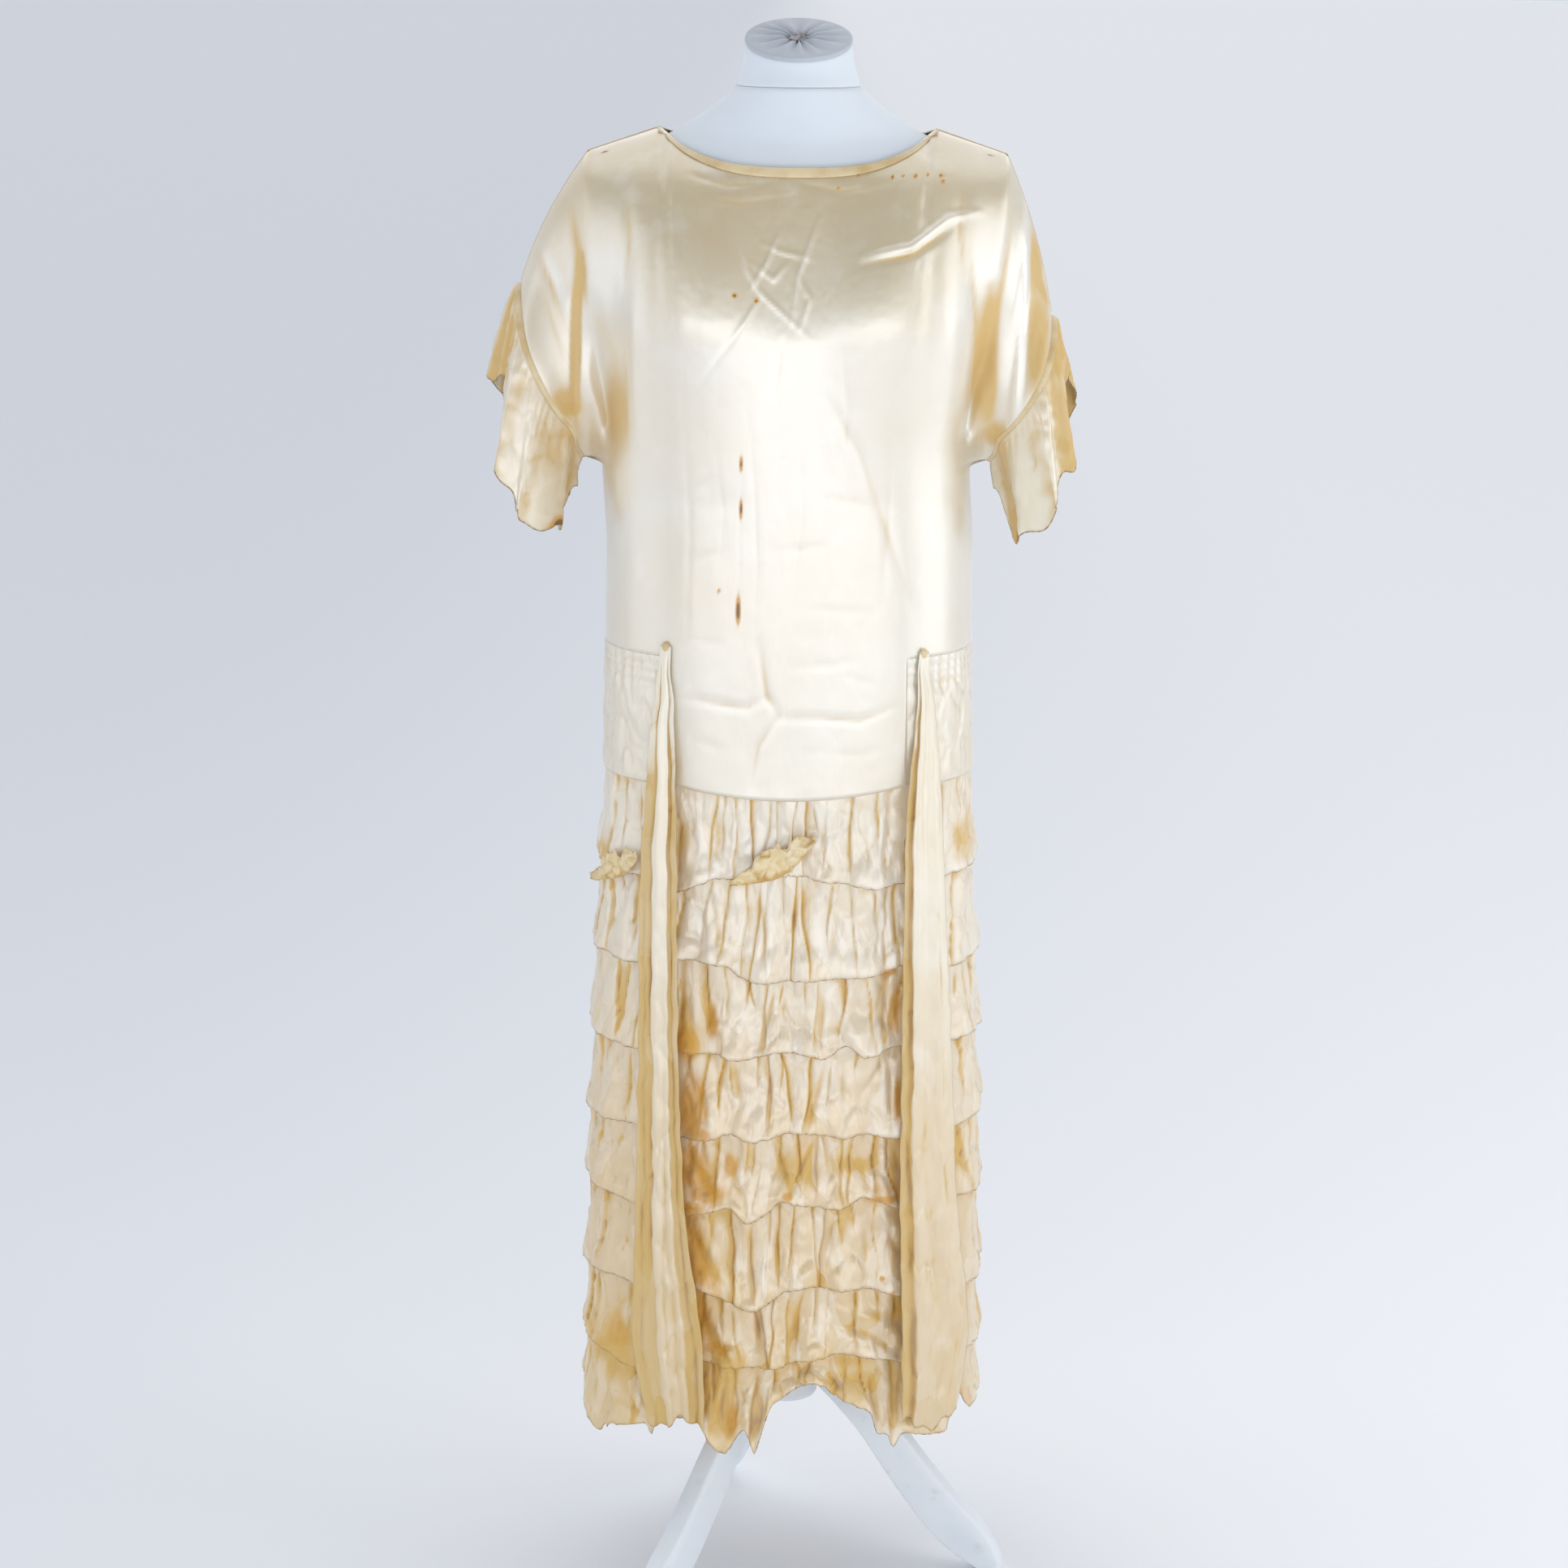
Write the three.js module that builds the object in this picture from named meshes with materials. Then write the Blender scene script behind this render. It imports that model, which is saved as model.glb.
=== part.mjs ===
// A 1920s wedding dress of ivory silk satin on a limbless dress form with a three-legged stand.
// The front and the back are each cut in one with short wide sleeves. Each sleeve ends in a cuff and
// a flounce, eight gathered tiers make the skirt, and two long streamers hang from the hips.
// Millimetres, +Z up. The front of the dress faces -Y, and left and right are the viewer's.
// The stand's pole is the axis x = y = 0 until the whole is moved, at the end, so that the origin
// lies under the middle of its box.
import * as THREE from "three";

const { lerp, degToRad, smoothstep, clamp } = THREE.MathUtils;

// ---- Cloth ----
const CLOTH = 1.2; // wall of the satin
const SEAM = 0.3; // gap between two pieces that are sewn together
const RIDGE_GAP = (CLOTH + SEAM) / 2; // front and back keep this far from the shoulder's middle line
const SIDE_GAP = 0.4; // and this far from the side seam

// ---- Plan of the body and skirt at each height: half width, depths in front and behind ----
// "square" is the exponent of the rounded plan, and "shift" how far its middle lies to the right.
const UNDERARM = 1077;
const dressPlan = [
  { height: 1200, half: 166, front: 120, back: 105, square: 2.4, shift: -6 },
  { height: UNDERARM, half: 167, front: 119, back: 104, square: 2.4, shift: -8 },
  { height: 1000, half: 167, front: 119, back: 106, square: 2.4, shift: -4 },
  { height: 912, half: 168, front: 120, back: 109, square: 2.4, shift: -4 },
  { height: 786, half: 171, front: 121, back: 112, square: 2.4, shift: -4 },
  { height: 620, half: 179, front: 125, back: 117, square: 2.4, shift: -4 },
  { height: 400, half: 186, front: 130, back: 124, square: 2.4, shift: -4 },
  { height: 150, half: 190, front: 135, back: 132, square: 2.4, shift: -5 },
];
const HIP_SEAM = 912; // where the front narrows to its long middle panel
const WAIST = 784; // dropped waist, where the tiers begin, at the middle of the front
const WAIST_RISE = 11; // the waist is this much higher beside the middle panel and behind
const PANEL_EDGE = degToRad(46); // polar angle of the middle panel's two edges

// ---- Neckline, shoulders and sleeves ----
const NECK_HALF = 123;
const NECK_POINT = 1373; // the neckline's height on the shoulder
const NECK_STAND = 7.5; // how far the neckline stands off the form in the middle
const SHOULDER_HALF = 187;
const SHOULDER_TIP = 1351.4;
const MOUTH = 51; // half depth of a sleeve's mouth
const ARMHOLE_FOLD = 22; // depth of the fold between the body and the sleeve
const UNDERARM_STUB = 16; // how far a sleeve's lowest point lies outside the side seam
const faces = {
  front: { side: -1, neckHeight: 1342, fullest: 1193 },
  back: { side: 1, neckHeight: 1358, fullest: 1235 },
};
// The line over the arm runs from the shoulder's tip, drawn by the full point, to the gathers at the
// sleeve's outside. Each row of a flounce says how far its edge drops and stands out, round the mouth
// from the gathers (0) past the front (0.25) to the underarm (0.5) and back behind.
const sleeves = {
  left: {
    side: -1, fullHalf: 232, fullHeight: 1291, gatherHalf: 248, gatherHeight: 1234, phase: 0.4,
    flounce: [
      { around: 0, drop: 82, out: 20 },
      { around: 0.05, drop: 66, out: 19 },
      { around: 0.12, drop: 108, out: 24 },
      { around: 0.25, drop: 112, out: 30 },
      { around: 0.36, drop: 98, out: 22 },
      { around: 0.44, drop: 80, out: 14 },
      { around: 0.5, drop: 26, out: 5 },
      { around: 0.6, drop: 72, out: 16 },
      { around: 0.75, drop: 98, out: 27 },
      { around: 0.9, drop: 92, out: 22 },
      { around: 1, drop: 82, out: 20 },
    ],
  },
  right: {
    side: 1, fullHalf: 219, fullHeight: 1282, gatherHalf: 230, gatherHeight: 1209, phase: 2.1,
    flounce: [
      { around: 0, drop: 46, out: 19 },
      { around: 0.05, drop: 84, out: 16 },
      { around: 0.12, drop: 96, out: 21 },
      { around: 0.22, drop: 94, out: 26 },
      { around: 0.34, drop: 98, out: 21 },
      { around: 0.44, drop: 82, out: 14 },
      { around: 0.5, drop: 24, out: 5 },
      { around: 0.6, drop: 66, out: 16 },
      { around: 0.75, drop: 92, out: 25 },
      { around: 0.9, drop: 84, out: 21 },
      { around: 1, drop: 46, out: 19 },
    ],
  },
};
const FLOUNCE_WAVES = 6;
const FLOUNCE_WAVE = 8; // height of a wave at the flounce's edge
const CUFF_WIDTH = 3;
const CUFF_THICK = 2.4;
const CUFF_GAP = 1.3; // the mouth's edge runs aslant, so the seams beside a cuff are wider

// ---- Tiers: mean height of each lower edge, and how it swings up and down round the skirt ----
const tiers = [
  { edge: 712, dip: 5, swings: 3, phase: 0.2 },
  { edge: 620, dip: 6, swings: 2, phase: 2.6 },
  { edge: 547, dip: 3, swings: 4, phase: 1.1 },
  { edge: 469, dip: 3, swings: 5, phase: 3.9 },
  { edge: 398, dip: 4, swings: 3, phase: 5.2 },
  { edge: 311, dip: 6, swings: 4, phase: 4.4 },
  { edge: 238, dip: 5, swings: 5, phase: 0.9 },
  { edge: 168, dip: 0, swings: 0, phase: 2.2 },
];
const TIER_WAVES = 20;
const STEPS_PER_WAVE = 4;
const TIER_WAVE = 4.6; // height of a ruffle wave at the lower edge
const TIER_TUCK = 11; // a tier's top reaches this far up behind the edge above it
const TIER_INSET = 5; // how far inside the skirt's plan the middle of a tier lies
const TIER_FULL = 1.2; // how far outside the plan its edge lies
// Heights of the ragged hem, round from the back. Angle 0 is the middle of the front.
const hem = [
  { angle: -180, height: 176 },
  { angle: -150, height: 160 },
  { angle: -125, height: 182 },
  { angle: -90, height: 186 },
  { angle: -64, height: 151 },
  { angle: -47, height: 161 },
  { angle: -35, height: 170 },
  { angle: -23, height: 154 },
  { angle: -17, height: 166 },
  { angle: -10, height: 156 },
  { angle: 0, height: 200 },
  { angle: 8, height: 223 },
  { angle: 30, height: 206 },
  { angle: 40, height: 155 },
  { angle: 60, height: 146 },
  { angle: 75, height: 180 },
  { angle: 92, height: 186 },
  { angle: 120, height: 168 },
  { angle: 150, height: 184 },
  { angle: 180, height: 176 },
];

// ---- Streamers: their two edges, how far they stand off the skirt and how deep they are folded ----
const streamers = {
  left: {
    side: -1, folds: 2.5, phase: 0.6,
    rows: [
      { height: 918, inner: 109, outer: 124, stand: 1.6, fold: 0 },
      { height: 880, inner: 108, outer: 135, stand: 4.4, fold: 1.6 },
      { height: 810, inner: 105, outer: 142, stand: 12, fold: 3.6 },
      { height: 700, inner: 105, outer: 147, stand: 14.5, fold: 4.6 },
      { height: 550, inner: 104, outer: 148, stand: 14.5, fold: 4.6 },
      { height: 400, inner: 100, outer: 151, stand: 14.5, fold: 4.8 },
      { height: 270, inner: 95, outer: 155, stand: 15, fold: 5 },
      { height: 164, inner: 90, outer: 156, stand: 16, fold: 5.4 },
    ],
  },
  right: {
    side: 1, folds: 3, phase: 2.4,
    rows: [
      { height: 916, inner: 112, outer: 128, stand: 1.6, fold: 0 },
      { height: 872, inner: 109, outer: 138, stand: 4.4, fold: 1.6 },
      { height: 806, inner: 105, outer: 144, stand: 12, fold: 3.6 },
      { height: 700, inner: 106, outer: 150, stand: 14.5, fold: 4.6 },
      { height: 550, inner: 106, outer: 158, stand: 14.5, fold: 4.8 },
      { height: 400, inner: 108, outer: 167, stand: 14.5, fold: 4.8 },
      { height: 270, inner: 110, outer: 173, stand: 15, fold: 5 },
      { height: 156, inner: 102, outer: 176, stand: 16, fold: 5.4 },
    ],
  },
};

// ---- Dress form: its plan at each height, its neck and its stand ----
const formPlan = [
  { height: 742, half: 158, front: 90, back: 98, square: 2.2 },
  { height: 830, half: 161, front: 96, back: 103, square: 2.2 },
  { height: 900, half: 157, front: 90, back: 98, square: 2.2 },
  { height: 1010, half: 127, front: 76, back: 80, square: 2.2 },
  { height: 1100, half: 138, front: 92, back: 86, square: 2.2 },
  { height: 1193, half: 147, front: 110, back: 92, square: 2.2 },
  { height: 1250, half: 152, front: 101, back: 92, square: 2.1 },
  { height: 1300, half: 164, front: 86, back: 84, square: 1.9 },
  { height: 1330, half: 177, front: 72, back: 72, square: 1.75 },
  { height: 1344, half: 184, front: 66, back: 68, square: 1.75 },
  { height: 1351, half: 183, front: 60, back: 62, square: 1.7 },
  { height: 1358, half: 157, front: 55, back: 58, square: 1.7 },
  { height: 1365, half: 122, front: 52, back: 56, square: 1.75 },
  { height: 1382, half: 91, front: 51, back: 55, square: 1.9 },
  { height: 1396, half: 71, front: 50, back: 54, square: 2 },
  { height: 1410, half: 56, front: 49, back: 52, square: 2 },
];
const FORM_FLOOR = formPlan[0].height;
const NECK_SEAM = formPlan[formPlan.length - 1].height;
const FORM_CLEAR = 3.4; // cloth keeps this far from the form, measured across
const NECK_TOP = { radius: 47, height: 1448, tilt: degToRad(20) }; // slants down to the front
const CAP_CROWN = 5;
const POLE_RADIUS = 14;
const HUB = { radius: 30, low: 166, high: 240 };
const LEG_THICK = 22;
const LEG_ANGLES = { leg_right: -10, leg_left: -130, leg_back: 110 };
// The curved leg, as distance from the pole and height: its underside down to the foot, and its upper side.
const FOOT = { heel: 192, toe: 212 };
const legUnderside = [[50, 160], [75, 131], [98, 97], [118, 69], [140, 41], [165, 17], [FOOT.heel, 0]];
const legUpper = [[214, 8], [205, 28], [190, 49], [165, 75], [140, 105], [115, 137], [90, 166], [60, 200]];
const legRoot = { low: 180, high: 236 };

const satin = new THREE.MeshStandardMaterial({ color: 0xe9d9b4, roughness: 0.38, metalness: 0 });
const binding = new THREE.MeshStandardMaterial({ color: 0xecd5a8, roughness: 0.42, metalness: 0 });
const jersey = new THREE.MeshStandardMaterial({ color: 0xe4ebf2, roughness: 0.8, metalness: 0 });
const greyJersey = new THREE.MeshStandardMaterial({ color: 0xa9aab2, roughness: 0.85, metalness: 0 });
const whitePaint = new THREE.MeshStandardMaterial({ color: 0xe8eff6, roughness: 0.45, metalness: 0 });

const dressOnForm = new THREE.Group();
function add(name, geometry, material) {
  const mesh = new THREE.Mesh(geometry, material);
  mesh.name = name;
  dressOnForm.add(mesh);
  return mesh;
}

const smooth = (t) => smoothstep(t, 0, 1);

// A column of a table at a value of its first column, smoothly through the rows without overshoot.
function between(rows, key, column, at) {
  const rising = rows.at(-1)[key] > rows[0][key];
  const table = rising ? rows : rows.toReversed();
  const last = table.length - 1;
  const x = clamp(at, table[0][key], table[last][key]);
  let i = 0;
  while (i < last - 1 && table[i + 1][key] < x) i++;
  const slope = (a, b) => (table[b][column] - table[a][column]) / (table[b][key] - table[a][key]);
  const run = table[i + 1][key] - table[i][key];
  const mid = slope(i, i + 1);
  const limit = (s) => (s * mid <= 0 ? 0 : Math.sign(mid) * Math.min(Math.abs(s), 2 * Math.abs(mid)));
  const start = limit(i > 0 ? slope(i - 1, i + 1) : mid) * run;
  const end = limit(i + 2 <= last ? slope(i, i + 2) : mid) * run;
  const rise = mid * run;
  const t = (x - table[i][key]) / run;
  return table[i][column] + t * (start + t * (3 * rise - 2 * start - end + t * (start + end - 2 * rise)));
}

// The plan's sizes at a height, on the front's or the back's side.
function planAt(plan, height, depthName) {
  const size = (column) => between(plan, "height", column, height);
  return { half: size("half"), depth: size(depthName), square: size("square") };
}

// A point on a plan at a polar angle from the middle of the front, moved out along the plan's normal.
function planPoint(plan, height, angle, out = 0) {
  const { half, depth, square } = planAt(plan, height, Math.cos(angle) >= 0 ? "front" : "back");
  const s = Math.sin(angle) / half;
  const c = Math.cos(angle) / depth;
  const r = (Math.abs(s) ** square + Math.abs(c) ** square) ** (-1 / square);
  const steep = (value) => Math.sign(value) * Math.abs(value * r) ** (square - 1);
  const normal = new THREE.Vector3(steep(s) / half, -steep(c) / depth, 0).normalize();
  return new THREE.Vector3(r * Math.sin(angle), -r * Math.cos(angle), height).addScaledVector(normal, out);
}

function onDress(height, angle, out = 0) {
  const point = planPoint(dressPlan, height, angle, out);
  point.x += between(dressPlan, "height", "shift", height);
  return point;
}

// How far in front of or behind its middle a plan reaches at a distance across, the plan grown by "out".
function planReach(plan, height, depthName, across, out = 0) {
  const { half, depth, square } = planAt(plan, height, depthName);
  const ratio = Math.min(1, Math.abs(across) / (half + out));
  return (depth + out) * (1 - ratio ** square) ** (1 / square);
}

// Moves a point of cloth out until it clears the form.
function clearOfForm(point) {
  const least = planPoint(formPlan, point.z, Math.atan2(point.x, -point.y), FORM_CLEAR);
  if (Math.hypot(point.x, point.y) < Math.hypot(least.x, least.y)) point.set(least.x, least.y, point.z);
  return point;
}

// A grid of points with their normals. The columns run to the right as seen from outside, and the rows down.
function grid(columns, rows, place, closed = false) {
  const wide = closed ? columns : columns + 1;
  const at = (i, j) => j * wide + (i % wide);
  const points = [];
  for (let j = 0; j <= rows; j++) {
    for (let i = 0; i < wide; i++) points.push(place(i, j));
  }
  const cells = [];
  for (let j = 0; j < rows; j++) {
    for (let i = 0; i < columns; i++) {
      cells.push({ i, j, corners: [at(i, j), at(i, j + 1), at(i + 1, j + 1), at(i + 1, j)] });
    }
  }
  const normals = points.map(() => new THREE.Vector3());
  for (const { corners } of cells) {
    const [a, b, c, d] = corners.map((k) => points[k]);
    const normal = c.clone().sub(a).cross(d.clone().sub(b));
    for (const k of corners) normals[k].add(normal);
  }
  for (const normal of normals) normal.normalize();
  return { points, normals, cells };
}

// The solid between two surfaces that lie "inner" and "outer" off a grid, of the cells that are kept.
function wall({ points, normals, cells }, { inner = -CLOTH / 2, outer = CLOTH / 2, keep = () => true } = {}) {
  const moved = (out) => points.flatMap((p, k) => p.clone().addScaledVector(normals[k], out).toArray());
  const inside = points.length; // index of the first inner point
  const index = [];
  const openEdges = new Map();
  for (const { i, j, corners } of cells) {
    if (!keep(i, j)) continue;
    const [a, b, c, d] = corners;
    // Each cell is cut along its shorter diagonal.
    const flat = points[a].distanceTo(points[c]) < points[b].distanceTo(points[d]);
    for (const [p, q, r] of flat ? [[a, b, c], [a, c, d]] : [[a, b, d], [b, c, d]]) {
      index.push(p, q, r, q + inside, p + inside, r + inside);
    }
    for (const [from, to] of [[a, b], [b, c], [c, d], [d, a]]) {
      if (!openEdges.delete(`${to} ${from}`)) openEdges.set(`${from} ${to}`, [from, to]);
    }
  }
  for (const [from, to] of openEdges.values()) {
    index.push(to, from, to + inside, from, from + inside, to + inside);
  }
  return new THREE.BufferGeometry()
    .setAttribute("position", new THREE.Float32BufferAttribute([...moved(outer), ...moved(inner)], 3))
    .setIndex(index);
}

// A solid through rings of points, from the lowest to the highest, with flat ends.
function loft(columns, rings) {
  const position = [];
  const index = [];
  rings.forEach((ring, j) => {
    for (let i = 0; i < columns; i++) {
      position.push(...ring((2 * Math.PI * i) / columns).toArray());
      const a = j * columns + i;
      const b = j * columns + ((i + 1) % columns);
      if (j + 1 < rings.length) index.push(a, b, b + columns, a, b + columns, a + columns);
    }
  });
  const top = (rings.length - 1) * columns;
  for (let i = 1; i < columns - 1; i++) index.push(0, i + 1, i, top, top + i, top + i + 1);
  return new THREE.BufferGeometry()
    .setAttribute("position", new THREE.Float32BufferAttribute(position, 3))
    .setIndex(index);
}

// ---- Front and back ----
const BINDING_GAP = 0.4; // between the cloth and the binding that lies on it
const BINDING_TOP = 1.5;
// Each half has columns under the neckline, the shoulder and the line over the arm.
const NECK_COLUMNS = 8;
const TIP_COLUMN = NECK_COLUMNS + 3;
const HALF_COLUMNS = TIP_COLUMN + 6;
const UPPER_ROWS = 11; // down to the underarm, closer together at the top
const ROW_CROWDING = 1.8;
const LOWER_ROWS = 2; // on to the hip seam
const PANEL_ROWS = 2; // on to the dropped waist
const columnAngles = [
  { column: 0, angle: 0 },
  { column: NECK_COLUMNS, angle: PANEL_EDGE },
  { column: TIP_COLUMN, angle: degToRad(66) },
  { column: HALF_COLUMNS, angle: degToRad(90) },
];

// The neckline's columns lie closer together towards the shoulder.
function neckline(name, column) {
  const face = faces[name];
  const share = 1 - (1 - column / NECK_COLUMNS) ** 1.5;
  const height = lerp(face.neckHeight, NECK_POINT, share ** 3);
  const reach = planReach(formPlan, height, name, NECK_HALF * share);
  const stand = lerp(NECK_STAND, RIDGE_GAP, share ** 8);
  return new THREE.Vector3(NECK_HALF * share, face.side * (reach + stand), height);
}

function topEdge(name, sleeve, column) {
  if (column <= NECK_COLUMNS) return neckline(name, column);
  if (column <= TIP_COLUMN) {
    const t = (column - NECK_COLUMNS) / (TIP_COLUMN - NECK_COLUMNS);
    return new THREE.Vector3(lerp(NECK_HALF, SHOULDER_HALF, t), 0, lerp(NECK_POINT, SHOULDER_TIP, t));
  }
  const t = (column - TIP_COLUMN) / (HALF_COLUMNS - TIP_COLUMN);
  const bend = (from, by, to) => (1 - t) ** 2 * from + 2 * t * (1 - t) * by + t ** 2 * to;
  return new THREE.Vector3(
    bend(SHOULDER_HALF, sleeve.fullHalf, sleeve.gatherHalf),
    0,
    bend(SHOULDER_TIP, sleeve.fullHeight, sleeve.gatherHeight),
  );
}

// A point between the top edge (down = 0) and the level of the underarm (down = 1), on the right half.
function upperPoint(name, sleeve, column, down) {
  const face = faces[name];
  const top = topEdge(name, sleeve, column);
  const angle = between(columnAngles, "column", "angle", column);
  const height = lerp(top.z, UNDERARM, down);
  const body = planPoint(dressPlan, height, face.side < 0 ? angle : Math.PI - angle);
  const shift = between(dressPlan, "height", "shift", height);
  body.x += sleeve.side * shift;
  const toShoulder = smooth(column / NECK_COLUMNS);
  const onSleeve = smooth((column - TIP_COLUMN) / (HALF_COLUMNS - TIP_COLUMN));
  // The cloth comes forward to the fullest height, quickly below the shoulder and gently below the neck.
  const full = Math.max(0.35, (top.z - face.fullest) / (top.z - UNDERARM));
  const left = 1 - Math.min(1, down / full);
  const forward = (1 - left ** (1.35 + 1.15 * toShoulder)) ** (1 - 0.42 * toShoulder);
  const mouth = face.side * MOUTH * Math.sin(Math.PI * down) ** lerp(0.7, 1, smooth(2 * down - 1));
  const fold = ARMHOLE_FOLD * Math.exp(-((column - TIP_COLUMN - 1) ** 2)) * smooth((down - 0.3) / 0.5);
  const y = lerp(lerp(top.y, body.y, forward), mouth, onSleeve) - face.side * fold * smooth((1 - down) / 0.15);
  // At the underarm the two layers of the sleeve meet a little outside the side seam.
  const stub = UNDERARM_STUB * Math.max(0, (column - TIP_COLUMN) / (HALF_COLUMNS - TIP_COLUMN)) ** 2;
  const x = lerp(top.x, body.x, lerp(smooth(down), down ** 2, onSleeve)) + stub * smooth((down - 0.8) / 0.2);
  return new THREE.Vector3(x, y, height);
}

const waistEdge = (angle) => WAIST + WAIST_RISE * Math.min(1, (angle / PANEL_EDGE) ** 2);

function bodyPoint(name, sleeve, column, row) {
  const face = faces[name];
  if (row <= UPPER_ROWS) {
    const point = upperPoint(name, sleeve, column, (row / UPPER_ROWS) ** ROW_CROWDING);
    return row === 0 ? point : clearOfForm(point);
  }
  const angle = between(columnAngles, "column", "angle", column);
  const lowerRow = row - UPPER_ROWS;
  const waist = face.side < 0 ? waistEdge(angle) : WAIST + WAIST_RISE;
  const height = lowerRow <= LOWER_ROWS
    ? lerp(UNDERARM, HIP_SEAM, lowerRow / LOWER_ROWS)
    : lerp(HIP_SEAM, waist, (lowerRow - LOWER_ROWS) / PANEL_ROWS);
  const point = planPoint(dressPlan, height, face.side < 0 ? angle : Math.PI - angle);
  point.x += sleeve.side * between(dressPlan, "height", "shift", height);
  return point;
}

// The grid of the front or the back, from one sleeve's mouth to the other's.
function bodyGrid(name) {
  const { side } = faces[name];
  return grid(2 * HALF_COLUMNS, UPPER_ROWS + LOWER_ROWS + PANEL_ROWS, (i, j) => {
    const across = -side * (i - HALF_COLUMNS);
    const sleeve = across < 0 ? sleeves.left : sleeves.right;
    const point = bodyPoint(name, sleeve, Math.abs(across), j);
    point.x *= sleeve.side;
    point.y = side * Math.max(side * point.y, j === 0 || j === UPPER_ROWS ? RIDGE_GAP : SIDE_GAP);
    return point;
  });
}

const underNeckline = (i) => Math.abs(i + 0.5 - HALF_COLUMNS) < NECK_COLUMNS;
for (const name of ["front", "back"]) {
  const cloth = bodyGrid(name);
  const keep = (i, j) => name === "back" || j < UPPER_ROWS + LOWER_ROWS || underNeckline(i);
  add(name, wall(cloth, { keep }), satin);
  // A narrow binding lies on the first row of the cloth along the neckline.
  const onEdge = (i, j) => j === 0 && underNeckline(i);
  const band = wall(cloth, { inner: CLOTH / 2 + BINDING_GAP, outer: CLOTH / 2 + BINDING_TOP, keep: onEdge });
  add(`neck_binding_${name}`, band, binding);
}

// ---- Ruched side pieces from the hip seam to the dropped waist, beside the front's middle panel ----
const YOKE_COLUMNS = 12;
const YOKE_ROWS = 3;
const YOKE_FOLDS = 3;
const YOKE_FOLD = 2.4;
for (const [name, { side }] of Object.entries(sleeves)) {
  const margin = SEAM / dressPlan[0].front; // the seam's gap as an angle
  const yoke = grid(YOKE_COLUMNS, YOKE_ROWS, (i, j) => {
    const u = side < 0 ? 1 - i / YOKE_COLUMNS : i / YOKE_COLUMNS;
    const v = j / YOKE_ROWS;
    const angle = lerp(PANEL_EDGE + margin, Math.PI / 2 - 2 * margin, u);
    const ruching = YOKE_FOLD * Math.cos(2 * Math.PI * YOKE_FOLDS * u) * smooth((u - 0.3) / 0.3);
    const height = lerp(HIP_SEAM - SEAM, WAIST + WAIST_RISE, v);
    return onDress(height, side * angle, ruching * Math.sin(Math.PI * v) * smooth((1 - u) / 0.15));
  });
  add(`hip_yoke_${name}`, wall(yoke), satin);
}

// ---- Cuffs and flounces ----
// A point of a sleeve's mouth. "around" runs 0 to 1 from the gathers by the front and the underarm.
function mouthPoint(sleeve, around) {
  const name = around <= 0.5 ? "front" : "back";
  const point = upperPoint(name, sleeve, HALF_COLUMNS, 1 - Math.abs(1 - 2 * around));
  point.x *= sleeve.side;
  return point;
}

// The direction in which a sleeve's mouth faces.
function mouthFacing(sleeve) {
  const chord = mouthPoint(sleeve, 0).sub(mouthPoint(sleeve, 0.5));
  return new THREE.Vector3(sleeve.side * chord.z, 0, -sleeve.side * chord.x).normalize();
}

const FLOUNCE_COLUMNS = 36;
const FLOUNCE_ROWS = 3;
for (const [name, sleeve] of Object.entries(sleeves)) {
  const facing = mouthFacing(sleeve);
  // The columns run to the right as seen from outside, so they go round the two mouths opposite ways.
  const turn = (share) => (sleeve.side < 0 ? share : 1 - share);
  const cuff = grid(2 * UPPER_ROWS, 1, (i, j) => {
    const row = turn(i / (2 * UPPER_ROWS)) * 2;
    const down = (1 - Math.abs(1 - row)) ** ROW_CROWDING;
    const point = mouthPoint(sleeve, row <= 1 ? down / 2 : 1 - down / 2);
    return point.addScaledVector(facing, CUFF_GAP + j * CUFF_WIDTH);
  }, true);
  add(`cuff_${name}`, wall(cuff, { inner: -CUFF_THICK / 2, outer: CUFF_THICK / 2 }), binding);

  const middle = mouthPoint(sleeve, 0.25).add(mouthPoint(sleeve, 0.75)).multiplyScalar(0.5);
  const flounce = grid(FLOUNCE_COLUMNS, FLOUNCE_ROWS, (i, j) => {
    const around = turn(i / FLOUNCE_COLUMNS);
    const v = j / FLOUNCE_ROWS;
    const point = mouthPoint(sleeve, around);
    const away = point.clone().sub(middle).setX(0).setZ(0).divideScalar(MOUTH).add(facing).setZ(0).normalize();
    const wave = Math.cos(2 * Math.PI * FLOUNCE_WAVES * around + sleeve.phase);
    const swing = FLOUNCE_WAVE * wave * smooth(Math.abs(around - 0.5) / 0.12);
    const spread = between(sleeve.flounce, "around", "out", around) + swing;
    const drop = between(sleeve.flounce, "around", "drop", around);
    point.addScaledVector(facing, CUFF_WIDTH + 2 * CUFF_GAP).addScaledVector(away, spread * v ** 0.8);
    point.z -= drop * v;
    return point;
  }, true);
  add(`flounce_${name}`, wall(flounce), satin);
}

// ---- Tiers of the skirt ----
const TIER_COLUMNS = TIER_WAVES * STEPS_PER_WAVE;
const TUCK_GAP = (CLOTH + SEAM) * 1.7; // room behind the tier above, which runs aslant at its waves

function tierEdge(number, angle) {
  if (number < 0) return waistEdge(angle);
  if (number === tiers.length - 1) return between(hem, "angle", "height", THREE.MathUtils.radToDeg(angle));
  const { edge, dip, swings, phase } = tiers[number];
  return edge + dip * Math.cos(swings * angle + phase);
}

function ruffle(number, angle) {
  const { phase } = tiers[number];
  const uneven = 0.8 + 0.2 * Math.sin(2 * angle + phase);
  return TIER_WAVE * uneven * Math.cos(TIER_WAVES * angle + phase + 0.7 * Math.sin(3 * angle + phase));
}

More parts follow.
